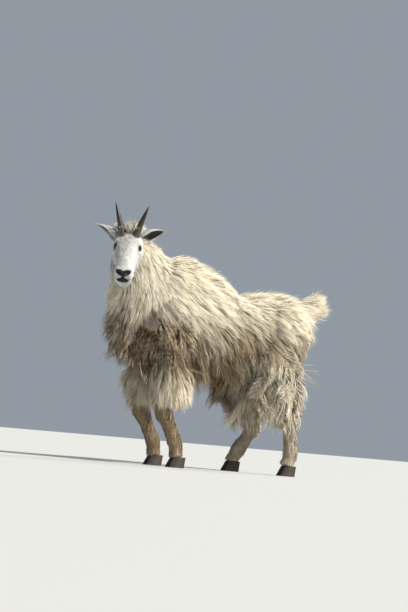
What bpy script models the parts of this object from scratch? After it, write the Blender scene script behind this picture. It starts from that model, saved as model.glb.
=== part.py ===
"""A life-size standing mountain goat nanny with her head turned, as a still museum model.

Metres, +Z up. She faces -Y and her left side is +X. The hooves stand on z = 0.
The trunk, neck, legs and head are lofted cores. The long coat is built on them as flat,
tapered locks that follow the lie of the hair, and each core with its locks is one node.
"""
import math
import random

import bmesh
import bpy
from mathutils import Matrix, Vector

# Driving dimensions
WITHERS_SKIN = 0.876      # height of the skin over the withers hump
RUMP_SKIN = 0.775         # height of the skin over the croup
BELLY_SKIN = 0.462        # height of the belly's skin
TRUNK_FRONT = -0.478      # skin at the front of the brisket
TRUNK_BACK = 0.392        # skin at the back of the rump
CHEST_HALF = 0.118        # half width of the chest
BARREL_HALF = 0.136       # half width of the barrel
TRUNK_COAT = 0.020        # matted underwool that a core adds over the skin
LEG_COAT = 0.010
GAP = 0.0003              # air between two nodes that touch
THIN = 0.50               # share of the body's triangles kept after its union
SEED = 11

# The head is modelled facing -Y with the tooth row level, then set on the neck.
POLL = Vector((0.010, -0.479, 0.962))
HEAD_YAW = math.radians(58)
HEAD_PITCH = math.radians(38)
HEAD_ROLL = math.radians(1.5)
HEAD_LENGTH = 0.260
EYE_RADIUS = 0.0135
HORN_LENGTH = 0.150
HORN_BASE_RADIUS = 0.0185
EAR_LENGTH = 0.112
EAR_HALF = 0.025          # half width of an ear's opening at its widest
EAR_THICKNESS = 0.0034
MOUTH_LINE = 0.0017       # radius of the groove between the lips

# Feet, in the part's frame
FORE_X = 0.100
HIND_X = 0.098
FORE_FOOT = -0.204
HOOF_HEIGHT = 0.046

PARTS = bpy.data.collections.new("mountain_goat")
TOOLS = bpy.data.collections.new("cutters")


def clear_scene():
    for obj in list(bpy.data.objects):
        bpy.data.objects.remove(obj)
    for collection in (PARTS, TOOLS):
        bpy.context.scene.collection.children.link(collection)
    TOOLS.hide_render = True


def material(name, colour, roughness, metallic=0.0):
    made = bpy.data.materials.new(name)
    made.use_nodes = True
    shader = made.node_tree.nodes["Principled BSDF"]
    shader.inputs["Base Color"].default_value = (*colour, 1)
    shader.inputs["Roughness"].default_value = roughness
    shader.inputs["Metallic"].default_value = metallic
    made.diffuse_color = (*colour, 1)
    return made


def object_of(name, bm, collection):
    """A new object from a bmesh, made of triangles that face outwards."""
    bmesh.ops.triangulate(bm, faces=bm.faces)
    bmesh.ops.recalc_face_normals(bm, faces=bm.faces)
    mesh = bpy.data.meshes.new(name)
    bm.to_mesh(mesh)
    bm.free()
    obj = bpy.data.objects.new(name, mesh)
    collection.objects.link(obj)
    return obj


def skin_rings(bm, rings):
    """Joins rings of equal count by quads and closes both ends."""
    loops = [[bm.verts.new(p) for p in ring] for ring in rings]
    count = len(loops[0])
    for near, far in zip(loops, loops[1:]):
        for i in range(count):
            j = (i + 1) % count
            bm.faces.new((near[i], near[j], far[j], far[i]))
    bm.faces.new(loops[0][::-1])
    bm.faces.new(loops[-1])


def catmull(values, t):
    """A smooth value at t from 0 to 1 through evenly spaced numbers or vectors."""
    last = len(values) - 1
    place = min(max(t, 0.0), 1.0) * last
    i = min(int(place), last - 1)
    f = place - i
    a, b = values[max(i - 1, 0)], values[i]
    c, d = values[i + 1], values[min(i + 2, last)]
    return 0.5 * ((2 * b) + (c - a) * f + (2 * a - 5 * b + 4 * c - d) * f ** 2
                  + (3 * b - a - 3 * c + d) * f ** 3)


class Loft:
    """A limb or trunk lofted along a smooth axis.

    Each station is (centre, half width, depth on the near side, depth on the far side). The
    near side is along axis x across: the belly of the trunk, the crest of the neck and the
    front of a leg.
    """

    def __init__(self, stations, across=Vector((1, 0, 0)), boxy=1.0):
        self.centres = [Vector(s[0]) for s in stations]
        self.sizes = [Vector(s[1:4]) for s in stations]
        self.across = across.normalized()
        self.boxy = boxy

    def frame(self, v):
        step = 0.01
        centre = catmull(self.centres, v)
        ahead = catmull(self.centres, min(v + step, 1)) - catmull(self.centres, max(v - step, 0))
        along = ahead.normalized()
        side = (self.across - along * self.across.dot(along)).normalized()
        return centre, along, side, along.cross(side)

    def point(self, v, angle, grow=0.0):
        centre, _, side, depth = self.frame(v)
        half, near, far = catmull(self.sizes, v)
        c, s = math.cos(angle), math.sin(angle)
        c = math.copysign(abs(c) ** self.boxy, c)
        s = math.copysign(abs(s) ** self.boxy, s)
        reach = (near if s > 0 else far) + grow
        return centre + side * (c * (half + grow)) + depth * (s * reach)

    def normal(self, v, angle):
        step = 0.02
        along = self.point(min(v + step, 1), angle) - self.point(max(v - step, 0), angle)
        round_ = self.point(v, angle + step) - self.point(v, angle - step)
        out = round_.cross(along).normalized()
        centre = catmull(self.centres, v)
        return out if out.dot(self.point(v, angle) - centre) > 0 else -out

    def mesh(self, name, rings, sides, grow=0.0, collection=None):
        bm = bmesh.new()
        turns = [2 * math.pi * i / sides for i in range(sides)]
        places = [k / (rings - 1) for k in range(rings)]
        grid = [[self.point(v, a, grow) for a in turns] for v in places]
        skin_rings(bm, grid)
        return object_of(name, bm, collection or TOOLS)


def ball(name, centre, radii, turn=None, rings=8, sides=12, grow=0.0):
    """A closed ellipsoid, turned by a 3x3 matrix if one is given."""
    bm = bmesh.new()
    bmesh.ops.create_uvsphere(bm, u_segments=sides, v_segments=rings, radius=1)
    place = Matrix.Translation(centre) @ (turn or Matrix.Identity(3)).to_4x4()
    size = Matrix.Diagonal((*(r + grow for r in radii), 1))
    bmesh.ops.transform(bm, matrix=place @ size, verts=bm.verts)
    return object_of(name, bm, TOOLS)


def evaluated_mesh(obj):
    graph = bpy.context.evaluated_depsgraph_get()
    return bpy.data.meshes.new_from_object(obj.evaluated_get(graph))


def keep_largest(mesh):
    """Drops every closed surface but the one with the largest volume."""
    bm = bmesh.new()
    bm.from_mesh(mesh)
    bmesh.ops.triangulate(bm, faces=bm.faces)
    seen, islands = set(), []
    for start in bm.faces:
        if start in seen:
            continue
        island, queue = [], [start]
        seen.add(start)
        while queue:
            face = queue.pop()
            island.append(face)
            for edge in face.edges:
                for other in edge.link_faces:
                    if other not in seen:
                        seen.add(other)
                        queue.append(other)
        volume = 0.0
        for face in island:
            a, b, c = (vert.co for vert in face.verts)
            volume += a.dot(b.cross(c)) / 6
        islands.append((volume, island))
    islands.sort(key=lambda pair: pair[0])
    spare = [face for _, island in islands[:-1] for face in island]
    bmesh.ops.delete(bm, geom=spare, context="FACES")
    bm.to_mesh(mesh)
    bm.free()
    return mesh


def combine(base, others, operation, largest=False):
    """Applies one Boolean between base and a list of objects, which are then removed."""
    others = [o for o in others if o is not None]
    if others:
        group = bpy.data.collections.new("operands")
        bpy.context.scene.collection.children.link(group)
        for obj in others:
            for old in list(obj.users_collection):
                old.objects.unlink(obj)
            group.objects.link(obj)
        modifier = base.modifiers.new("join", "BOOLEAN")
        modifier.operation = operation
        modifier.operand_type = "COLLECTION"
        modifier.collection = group
        modifier.solver = "MANIFOLD"
        mesh = evaluated_mesh(base)
        base.modifiers.clear()
        base.data = mesh
        for obj in others:
            bpy.data.objects.remove(obj)
        bpy.data.collections.remove(group)
    if largest:
        keep_largest(base.data)
    return base


def copy_of(obj, grow=0.0):
    """A helper copy of a closed mesh, pushed out along its normals by grow."""
    bm = bmesh.new()
    bm.from_mesh(obj.data)
    bm.normal_update()
    if grow:
        moves = {v: v.normal * grow * v.calc_shell_factor() for v in bm.verts}
        for vert, move in moves.items():
            vert.co += move
    return object_of(obj.name + "_copy", bm, TOOLS)


def thin_out(obj, share):
    """Merges the slivers that a union leaves, down to a share of its triangles."""
    modifier = obj.modifiers.new("thin", "DECIMATE")
    modifier.ratio = share
    mesh = evaluated_mesh(obj)
    obj.modifiers.clear()
    obj.data = mesh


class Mound:
    """An ellipsoid of muscle under the coat, read like a loft whose axis is upright."""

    def __init__(self, centre, radii):
        self.centre, self.radii = Vector(centre), Vector(radii)

    def point(self, v, angle, grow=0.0):
        tilt = math.pi * (v - 0.5)
        way = Vector((math.cos(angle) * math.cos(tilt), math.sin(angle) * math.cos(tilt),
                      -math.sin(tilt)))
        return self.centre + Vector([w * (r + grow) for w, r in zip(way, self.radii)])

    def normal(self, v, angle):
        away = self.point(v, angle) - self.centre
        return Vector([a / r ** 2 for a, r in zip(away, self.radii)]).normalized()

    def mesh(self, name):
        return ball(name, self.centre, self.radii)


class Lock:
    """One flat, tapered lock of long hair that leaves the coat and bends into its lie.

    It is broad and nearly flat on top, with a low keel below, and it ends in a point.
    """

    def __init__(self, root, out, lie, length, half_width, lift=0.8, droop=0.25, sink=0.014,
                 shares=(0.62, 1.0, 0.74)):
        self.out, self.half_width, self.shares = out, half_width, shares
        leave = (out * lift + lie).normalized()
        settle = (lie + Vector((0, 0, -droop))).normalized()
        spans = len(shares)
        point = root - out * sink - lie * 0.01
        self.spine, self.ways = [point], [leave]
        for k in range(spans):
            way = leave.lerp(settle, (k + 0.3) / spans).normalized()
            point = point + way * (length / spans + (sink if k == 0 else 0))
            self.spine.append(point)
            self.ways.append(way)

    def mesh(self, name, grow=0.0):
        bm = bmesh.new()
        loops = []
        for point, way, share in zip(self.spine, self.ways, self.shares):
            flat = way.cross(self.out).normalized()
            up = flat.cross(way).normalized()
            wide = self.half_width * share + 2 * grow
            high = self.half_width * share * 0.10 + grow
            keel = self.half_width * share * 0.40 + 2 * grow
            ring = (point + flat * wide + up * high, point - up * keel,
                    point - flat * wide + up * high)
            loops.append([bm.verts.new(p) for p in ring])
        tip = bm.verts.new(self.spine[-1] + self.ways[-1] * grow * 3)
        for near, far in zip(loops, loops[1:]):
            for i in range(3):
                j = (i + 1) % 3
                bm.faces.new((near[i], near[j], far[j]))
                bm.faces.new((near[i], far[j], far[i]))
        for i in range(3):
            bm.faces.new((loops[-1][i], loops[-1][(i + 1) % 3], tip))
        bm.faces.new(loops[0][::-1])
        return object_of(name, bm, TOOLS)


def lie_on(out, lie):
    """The wished lie of the hair, laid into the surface with this outward normal."""
    flat = lie - out * lie.dot(out)
    return flat.normalized() if flat.length > 1e-6 else lie.normalized()


def grow_locks(loft, rows, count, length, half_width, lie, keep=None, lift=0.8, droop=0.25,
               seed=0, span=(0.0, 1.0), grow=0.0):
    """Rows of locks round a loft. length and lie are functions of the root's place.

    rows are places along the axis, and count is the locks in each row, which alternate like
    roof tiles. keep says which roots to use.
    """
    draw = random.Random(SEED + seed)
    locks = []
    for k, v in enumerate(rows):
        for i in range(count):
            share = (i + 0.5 * (k % 2) + draw.uniform(-0.22, 0.22)) / count
            angle = 2 * math.pi * (span[0] + share * (span[1] - span[0]))
            place = v + draw.uniform(-0.012, 0.012)
            root, out = loft.point(place, angle, grow), loft.normal(place, angle)
            size = draw.uniform(0.85, 1.15)
            wide = half_width * draw.uniform(0.85, 1.12)
            sway = Vector((draw.uniform(-0.2, 0.2), draw.uniform(-0.2, 0.2), 0))
            if keep is not None and not keep(root, out):
                continue
            way = lie_on(out, lie(root, out) + sway)
            sag = droop(root, out) if callable(droop) else droop
            locks.append(Lock(root, out, way, length(root, out) * size, wide, lift, sag))
    return locks


# Lofts of the body, without the coat
def trunk_loft():
    reach = TRUNK_BACK - TRUNK_FRONT
    withers, rump, belly = WITHERS_SKIN, RUMP_SKIN, BELLY_SKIN
    # half width, skin height above, skin height below, at even steps from brisket to rump
    profile = (
        (0.022, 0.625, 0.560),
        (0.094, 0.748, 0.466),
        (CHEST_HALF, withers - 0.002, 0.440),
        (CHEST_HALF + 0.006, withers - 0.002, 0.434),
        (CHEST_HALF + 0.010, withers - 0.036, 0.442),
        (BARREL_HALF, rump + 0.008, belly - 0.004),
        (BARREL_HALF, rump - 0.006, belly + 0.006),
        (0.128, rump, belly + 0.022),
        (0.110, rump - 0.003, 0.512),
        (0.030, rump - 0.090, 0.610),
    )
    stations = []
    for k, (half, top, low) in enumerate(profile):
        middle = low + 0.52 * (top - low)
        centre = (0, TRUNK_FRONT + reach * k / (len(profile) - 1), middle)
        stations.append((centre, half, middle - low, top - middle))
    return Loft(stations, boxy=0.94)


def neck_loft():
    return Loft((
        ((0, -0.270, 0.630), 0.090, 0.172, 0.130),
        ((0, -0.325, 0.705), 0.102, 0.166, 0.135),
        ((0, -0.375, 0.780), 0.090, 0.134, 0.118),
        ((0, -0.415, 0.850), 0.076, 0.102, 0.086),
        ((0.002, -0.446, 0.912), 0.062, 0.078, 0.056),
        ((0.008, -0.468, 0.952), 0.042, 0.046, 0.038),
    ))


def fore_leg_loft(side):
    x = side * FORE_X
    return Loft((
        ((x * 0.86, -0.300, 0.560), 0.046, 0.062, 0.062),
        ((x * 0.95, -0.285, 0.480), 0.046, 0.060, 0.078),
        ((x, -0.280, 0.400), 0.041, 0.050, 0.070),
        ((x, -0.284, 0.325), 0.037, 0.042, 0.058),
        ((x, -0.290, 0.262), 0.033, 0.037, 0.040),
    ))


def fore_shank_loft(side):
    x = side * FORE_X
    return Loft((
        ((x, -0.290, 0.285), 0.033, 0.038, 0.038),
        ((x, -0.286, 0.232), 0.036, 0.041, 0.038),
        ((x, -0.262, 0.187), 0.031, 0.033, 0.034),
        ((x, -0.241, 0.145), 0.029, 0.030, 0.034),
        ((x, -0.222, 0.108), 0.031, 0.032, 0.038),
        ((x, -0.214, 0.077), 0.030, 0.031, 0.034),
        ((x, -0.210, HOOF_HEIGHT - 0.010), 0.032, 0.036, 0.032),
    ))


HIND_POSES = {
    # side of the body: hip, stifle, above the hock, hock, cannon, fetlock, pastern, coronet
    1: ((0.298, 0.630), (0.228, 0.500), (0.320, 0.305), (0.352, 0.236), (0.360, 0.165),
        (0.368, 0.108), (0.365, 0.077), (0.357, HOOF_HEIGHT - 0.010)),
    -1: ((0.285, 0.620), (0.175, 0.470), (0.240, 0.272), (0.276, 0.198), (0.248, 0.148),
         (0.217, 0.103), (0.201, 0.074), (0.188, HOOF_HEIGHT - 0.010)),
}


def hind_leg_loft(side):
    x = side * HIND_X
    hip, stifle, above, hock = HIND_POSES[side][:4]
    return Loft((
        ((x * 0.80, *hip), 0.058, 0.100, 0.105),
        ((x * 1.02, stifle[0] + 0.012, stifle[1]), 0.058, 0.092, 0.112),
        ((x * 1.02, (stifle[0] + above[0]) / 2, (stifle[1] + above[1]) / 2), 0.048, 0.078, 0.080),
        ((x, *above), 0.038, 0.056, 0.048),
    ))


def hind_shank_loft(side):
    x = side * HIND_X
    above, hock, cannon, fetlock, pastern, coronet = HIND_POSES[side][2:]
    lift = Vector((0, above[0] - hock[0], above[1] - hock[1])) * 0.85
    return Loft((
        (Vector((x, *hock)) + lift, 0.033, 0.040, 0.038),
        ((x, *hock), 0.035, 0.043, 0.038),
        ((x, *cannon), 0.031, 0.036, 0.034),
        ((x, *fetlock), 0.033, 0.035, 0.038),
        ((x, *pastern), 0.031, 0.033, 0.034),
        ((x, *coronet), 0.032, 0.037, 0.033),
    ))


def shoulder(side):
    return Mound((side * 0.085, -0.290, 0.600), (0.066, 0.100, 0.150))


def haunch(side):
    return Mound((side * 0.080, 0.280, 0.625), (0.074, 0.125, 0.130))


def tail_loft():
    return Loft((
        ((0, 0.335, 0.730), 0.034, 0.026, 0.026),
        ((0, 0.392, 0.742), 0.032, 0.025, 0.025),
        ((0, 0.438, 0.758), 0.026, 0.020, 0.020),
        ((0, 0.474, 0.776), 0.012, 0.010, 0.010),
    ))


# The head, in its own frame: -Y ahead, the poll at the origin
def head_matrix():
    turn = Matrix.Rotation(HEAD_YAW, 4, "Z") @ Matrix.Rotation(HEAD_PITCH, 4, "X")
    return Matrix.Translation(POLL) @ turn @ Matrix.Rotation(HEAD_ROLL, 4, "Y")


HEAD_SECTIONS = (
    # place from poll to nose, half width, top, bottom
    (-0.020, 0.040, 0.022, -0.055),
    (0.012, 0.053, 0.040, -0.080),
    (0.045, 0.057, 0.050, -0.092),
    (0.078, 0.058, 0.049, -0.096),
    (0.105, 0.054, 0.042, -0.094),
    (0.135, 0.048, 0.032, -0.088),
    (0.165, 0.042, 0.023, -0.083),
    (0.195, 0.038, 0.015, -0.080),
    (0.220, 0.038, 0.009, -0.082),
    (0.242, 0.036, 0.002, -0.082),
    (0.255, 0.029, -0.007, -0.073),
    (HEAD_LENGTH, 0.013, -0.018, -0.052),
)
# Bumps and hollows of the face: place, radius, height along the surface's normal
FACE_FORMS = (
    ((0.047, -0.083, 0.032), 0.020, 0.0070),     # brow over the eye
    ((0.053, -0.103, -0.008), 0.016, 0.0030),    # cheekbone under the eye
    ((0.044, -0.060, -0.052), 0.034, 0.0060),    # jaw muscle
    ((0.034, -0.130, -0.012), 0.020, -0.0035),   # hollow in front of the eye
    ((0.028, -0.232, -0.004), 0.013, 0.0035),    # wing of the nostril
    ((0.024, -0.238, -0.034), 0.016, 0.0024),    # upper lip
    ((0.013, -0.240, -0.072), 0.015, 0.0030),    # chin
    ((0.000, -0.045, 0.054), 0.026, 0.0050),     # crown between the horns
)
HEAD_RINGS = 20
HEAD_SIDES = 18


def head_point(place, angle):
    """A point of the head's skin before its bumps, at a share of its length."""
    sizes = [Vector((s[0], s[1], s[2])) for s in HEAD_SECTIONS]
    lows = [s[3] for s in HEAD_SECTIONS]
    ahead, half, top = catmull(sizes, place)
    low = catmull(lows, place)
    level = top - 0.42 * (top - low)
    c, s = math.cos(angle), math.sin(angle)
    narrow = 0.88 if s > 0 else 1.18
    x = math.copysign(abs(c) ** narrow, c) * half
    z = level + (s * (top - level) if s > 0 else s * (level - low))
    return Vector((x, -ahead, z))


def head_core(name, grow=0.0):
    bm = bmesh.new()
    turns = [2 * math.pi * i / HEAD_SIDES for i in range(HEAD_SIDES)]
    places = [k / (HEAD_RINGS - 1) for k in range(HEAD_RINGS)]
    skin_rings(bm, [[head_point(v, a) for a in turns] for v in places])
    bmesh.ops.recalc_face_normals(bm, faces=bm.faces)
    bm.normal_update()
    normals = {v: v.normal.copy() for v in bm.verts}
    for vert in bm.verts:
        move = grow
        for centre, radius, height in FACE_FORMS:
            for side in (1, -1) if centre[0] else (1,):
                away = (vert.co - Vector((centre[0] * side, *centre[1:]))).length
                move += height * math.exp(-(away / radius) ** 2)
        vert.co += normals[vert] * move
    bm.transform(head_matrix())
    return object_of(name, bm, TOOLS)


EYE_PLACE = Vector((0.0440, -0.092, 0.012))


def eye_centre(side):
    return head_matrix() @ Vector((EYE_PLACE.x * side, EYE_PLACE.y, EYE_PLACE.z))


def eye_frame(side):
    """Looks out of the eye: its Z is the way of sight, its X runs along the lid slit."""
    sight = Vector((side * 0.74, -0.60, 0.30)).normalized()
    slit = Vector((0, -0.92, -0.38))
    slit = (slit - sight * slit.dot(sight)).normalized()
    local = Matrix((slit, sight.cross(slit), sight)).transposed()
    return head_matrix().to_3x3() @ local


def eyelids(side, grow=0.0):
    """A raised almond ring of skin round each eye."""
    bm = bmesh.new()
    turn = eye_frame(side)
    rings, ribs = 12, 5
    wide, high, tube = 0.0150, 0.0105, 0.0036 + grow
    grid = []
    for i in range(rings):
        a = 2 * math.pi * i / rings
        middle = Vector((wide * math.cos(a), high * math.sin(a), 0))
        out = Vector((math.cos(a) / wide, math.sin(a) / high, 0)).normalized()
        rise = math.sqrt(max(EYE_RADIUS ** 2 - (middle.length * 0.82) ** 2, 0.0))
        middle.z = rise - 0.0008
        ring = []
        for k in range(ribs):
            b = 2 * math.pi * k / ribs
            ring.append(middle + (out * math.cos(b) + Vector((0, 0, 1)) * math.sin(b)) * tube)
        grid.append(ring)
    loops = [[bm.verts.new(eye_centre(side) + turn @ p) for p in ring] for ring in grid]
    for i in range(rings):
        near, far = loops[i], loops[(i + 1) % rings]
        for k in range(ribs):
            n = (k + 1) % ribs
            bm.faces.new((near[k], near[n], far[n], far[k]))
    return object_of("eyelid", bm, TOOLS)


def mouth_cutter():
    """A thin bent rod that leaves the line of the mouth round the muzzle."""
    places = [0.78, 0.86, 0.93, 0.975]
    angle = math.radians(-42)
    right = [head_point(v, math.pi - angle) for v in places]
    left = [head_point(v, angle) for v in places]
    nose = Vector((0, -HEAD_LENGTH - 0.0005, -0.0455))
    path = left + [nose] + right[::-1]
    curve = bpy.data.curves.new("mouth_line", "CURVE")
    curve.dimensions = "3D"
    curve.bevel_depth = MOUTH_LINE
    curve.bevel_resolution = 0
    curve.use_fill_caps = True
    spline = curve.splines.new("POLY")
    spline.points.add(len(path) - 1)
    for point, place in zip(spline.points, path):
        point.co = (*(head_matrix() @ place), 1)
    rod = bpy.data.objects.new("mouth_line", curve)
    TOOLS.objects.link(rod)
    mesh = evaluated_mesh(rod)
    bm = bmesh.new()
    bm.from_mesh(mesh)
    bmesh.ops.remove_doubles(bm, verts=bm.verts, dist=1e-5)
    made = object_of("mouth_cutter", bm, TOOLS)
    bpy.data.objects.remove(rod)
    return made


def nostril_cutter(side):
    centre = head_matrix() @ Vector((side * 0.0200, -0.2520, -0.0110))
    local = Matrix.Rotation(side * math.radians(38), 3, "Y") @ Matrix.Rotation(
        side * math.radians(-24), 3, "Z")
    return ball("nostril", centre, (0.0088, 0.0085, 0.0036),
                head_matrix().to_3x3() @ local, rings=6, sides=8)


def horn_spine(side, t):
    """A point along a horn in the head's frame: up, back and out, curving back at the tip."""
    base = Vector((side * 0.0265, -0.050, 0.042))
    start = math.radians(71)
    bend = math.radians(42)
    along, point = HORN_LENGTH / 24, base.copy()
    for k in range(int(round(t * 24))):
        lean = start - bend * (k / 24) ** 1.4
        point += Vector((side * 0.320, math.cos(lean), math.sin(lean))).normalized() * along
    return point


def horn_core(name, side, grow=0.0):
    bm = bmesh.new()
    rings, sides = 12, 8
    grid = []
    for k in range(rings):
        t = k / (rings - 1)
        here, ahead = horn_spine(side, t), horn_spine(side, min(t + 1 / 24, 1))
        back = horn_spine(side, max(t - 1 / 24, 0))
        way = (ahead - back).normalized()
        flat = way.cross(Vector((1, 0, 0))).normalized()
        wide = flat.cross(way)
        radius = HORN_BASE_RADIUS * (1 - t) ** 0.84 + 0.0012
        radius += 0.0006 * math.sin(t * 34) * (1 - t) * (t < 0.5)
        ring = []
        for i in range(sides):
            a = 2 * math.pi * i / sides
            offset = wide * math.cos(a) * (radius * 0.92 + grow)
            ring.append(here + offset + flat * math.sin(a) * (radius * 1.08 + grow))
        grid.append(ring)
    skin_rings(bm, grid)
    bm.transform(head_matrix())
    return object_of(name, bm, TOOLS)


def ear_frame(side):
    """The ear's root, the way to its tip, the way its mouth opens and the way across it."""
    root = Vector((side * 0.040, -0.004, 0.016))
    way = Vector((side * 0.86, 0.24, 0.18)).normalized()
    mouth = Vector((0.22, -0.86, -0.46)) if side > 0 else Vector((-0.25, -0.68, -0.69))
    mouth = (mouth - way * mouth.dot(way)).normalized()
    return root, way, mouth, way.cross(mouth).normalized()


def ear_room(side):
    """The space round an ear that the coat of the neck leaves free."""
    root, way, mouth, across = ear_frame(side)
    turn = head_matrix().to_3x3() @ Matrix((way, mouth, across)).transposed()
    centre = head_matrix() @ (root + way * (EAR_LENGTH * 0.52))
    return ball("ear_room", centre, (EAR_LENGTH * 0.64, 0.040, 0.037), turn)


def ear_shell(name, side):
    """A leaf-shaped cup: a curled sheet, made thick, that opens forwards and outwards."""
    root, way, mouth, across = ear_frame(side)
    bm = bmesh.new()
    rows, columns = 8, 6
    grid = []
    for r in range(rows):
        t = r / (rows - 1)
        half = EAR_HALF * math.sin(math.pi * min(0.28 + 0.72 * t, 0.995)) ** 0.80
        curl = math.radians(150 - 78 * t ** 0.8)
        bow = 0.010 * math.sin(math.pi * t)
        middle = root + way * (EAR_LENGTH * t) - mouth * bow
        row = []
        for c in range(columns):
            s = 2 * c / (columns - 1) - 1
            radius = half / math.sin(min(curl, math.pi / 2))
            a = s * curl
            row.append(middle + across * (radius * math.sin(a))
                       + mouth * (radius * (1 - math.cos(a)) * 0.72))
        grid.append([bm.verts.new(p) for p in row])
    for r in range(rows - 1):
        for c in range(columns - 1):
            bm.faces.new((grid[r][c], grid[r][c + 1], grid[r + 1][c + 1], grid[r + 1][c]))
    bm.transform(head_matrix())
    sheet = object_of(name, bm, TOOLS)
    thick = sheet.modifiers.new("thickness", "SOLIDIFY")
    thick.thickness = EAR_THICKNESS
    thick.offset = 0
    mesh = evaluated_mesh(sheet)
    sheet.modifiers.clear()
    sheet.data = mesh
    bm = bmesh.new()
    bm.from_mesh(mesh)
    bmesh.ops.triangulate(bm, faces=bm.faces)
    bmesh.ops.recalc_face_normals(bm, faces=bm.faces)
    bm.to_mesh(mesh)
    bm.free()
    return sheet


def hoof(name, side_x, coronet, turn):
    """Two pointed claws with a cleft, joined under the coronet. Their soles are flat on z = 0."""
    claws = []
    for half in (1, -1):
        bm = bmesh.new()
        rings, sides = 3, 10
        grid = []
        for k in range(rings):
            t = k / (rings - 1)
            z = HOOF_HEIGHT * t
            ahead = 0.043 - 0.014 * t
            behind = 0.032 - 0.004 * t
            wide = 0.0165 - 0.0022 * t
            centre = Vector((half * (0.0170 - 0.0020 * t), 0.010 * t - 0.004, z))
            ring = []
            for i in range(sides):
                a = 2 * math.pi * i / sides
                c, s = math.cos(a), math.sin(a)
                reach = -ahead if s > 0 else behind
                taper = 1 - 0.42 * max(s, 0) ** 2
                inner = 0.80 if c * half < 0 else 1.0
                ring.append(centre + Vector((c * wide * taper * inner, abs(s) * reach, 0)))
            grid.append(ring)
        skin_rings(bm, grid)
        claws.append(object_of("claw", bm, TOOLS))
    bridge = ball("bridge", Vector((0, 0.008, HOOF_HEIGHT * 0.62)), (0.014, 0.020, 0.0135),
                  rings=6, sides=8)
    made = combine(claws[0], [claws[1], bridge], "UNION", largest=True)
    made.data.transform(Matrix.Translation((side_x, coronet, 0)) @ Matrix.Rotation(turn, 4, "Z"))
    made.name = name
    return made


# The lie of the coat: where the hair of each region points
def trunk_lie(root, out):
    """Back along the topline, then ever steeper down the flank to the belly."""
    low = min(max((0.82 - root.z) / 0.30, 0.0), 1.0)
    front = min(max((-0.26 - root.y) / 0.14, 0.0), 1.0)
    back = min(max((root.y - 0.30) / 0.08, 0.0), 1.0)
    down = -0.12 - 1.25 * low - 0.9 * front - 0.8 * back
    return Vector((0.15 * out.x, 1.0 - 0.72 * low - 0.75 * front - 0.2 * back, down))


def neck_lie(root, out):
    crest = max(out.y, 0.0)
    return Vector((0.25 * out.x, 0.15 + 0.60 * crest, -1.0 + 0.50 * crest))


def leg_lie(root, out):
    return Vector((0.10 * out.x, 0.12 * out.y, -1.0))


def trunk_locks():
    def length(root, out):
        up = max(out.z, 0.0)
        hump = math.exp(-((root.y + 0.26) / 0.13) ** 2) * up
        return 0.145 + 0.030 * hump - 0.020 * up + 0.045 * max(-out.z, 0.0)

    def droop(root, out):
        return 0.25 + 0.85 * math.exp(-((root.y + 0.11) / 0.13) ** 2) * max(out.z, 0.0)

    def keep(root, out):
        between_legs = root.z < 0.50 and abs(root.x) < 0.09 and abs(root.y) > 0.19
        under_neck = root.y < -0.30 and root.z > 0.68
        return not under_neck and not between_legs

    rows = [0.05 + 0.130 * k for k in range(8)]
    return grow_locks(trunk_loft(), rows, 12, length, 0.048, trunk_lie, keep, lift=0.50,
                      droop=droop, seed=1, grow=TRUNK_COAT)


def muscle_locks(side):
    """Locks on the outer face of the shoulder and of the haunch."""
    locks = []
    span = (-0.20, 0.20) if side > 0 else (0.30, 0.70)
    for mound, seed in ((shoulder(side), 40), (haunch(side), 50)):
        locks += grow_locks(mound, (0.34, 0.62), 3, lambda root, out: 0.125, 0.044,
                            trunk_lie, lift=0.18, droop=0.4, seed=seed + side, span=span)
    return locks


def neck_locks():
    def length(root, out):
        return 0.130 + 0.020 * max(-out.y, 0.0) - 0.30 * max(root.z - 0.90, 0.0)

    def keep(root, out):
        return not (root.z > 0.92 and out.y < -0.2)

    return grow_locks(neck_loft(), (0.36, 0.52, 0.68, 0.85), 9, length, 0.042, neck_lie,
                      keep, lift=0.55, droop=0.35, seed=2, grow=TRUNK_COAT)


def leg_locks(side):
    locks = []
    for loft, rows, size, seed in ((fore_leg_loft(side), (0.32, 0.58, 0.82), 0.120, 20),
                                   (hind_leg_loft(side), (0.38, 0.62, 0.86), 0.115, 30)):
        locks += grow_locks(loft, rows, 6, lambda root, out, size=size: size, 0.034, leg_lie,
                            lift=0.42, droop=0.3, seed=seed + side, grow=LEG_COAT)
    return locks


def tail_locks():
    locks = []
    draw = random.Random(SEED + 9)
    loft = tail_loft()
    for k, v in enumerate((0.50, 0.72, 0.92)):
        for i in range(4):
            angle = 2 * math.pi * (i + 0.5 * (k % 2)) / 4
            root, out = loft.point(v, angle), loft.normal(v, angle)
            hang = 0.24 if out.z > -0.2 else -1.1
            lie = Vector((draw.uniform(-0.15, 0.15), 1.0, hang))
            locks.append(Lock(root, out, lie_on(out, lie), draw.uniform(0.075, 0.095), 0.022,
                              lift=0.45, droop=0.1, sink=0.008))
    return locks


def beard_locks():
    """The chin beard and the ruff along the jaw, hanging down."""
    locks = []
    draw = random.Random(SEED + 12)
    place = head_matrix()
    down = Vector((0, 0, -1))
    spots = [(side * wide, ahead, low, long)
             for wide, ahead, low, long in ((0.010, -0.218, -0.068, 0.050),
                                            (0.015, -0.165, -0.074, 0.080),
                                            (0.026, -0.105, -0.080, 0.085),
                                            (0.040, -0.050, -0.066, 0.080))
             for side in (1, -1)]
    for x, y, z, long in spots:
        root = place @ Vector((x, y, z))
        out = (place.to_3x3() @ Vector((x * 14, 0.15, -1 + abs(x) * 16))).normalized()
        lie = lie_on(out, down + Vector((draw.uniform(-0.1, 0.1), 0.1, 0)))
        locks.append(Lock(root, out, lie, long * draw.uniform(0.9, 1.1), 0.0170,
                          lift=0.35, droop=0.4, sink=0.006))
    return locks


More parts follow.
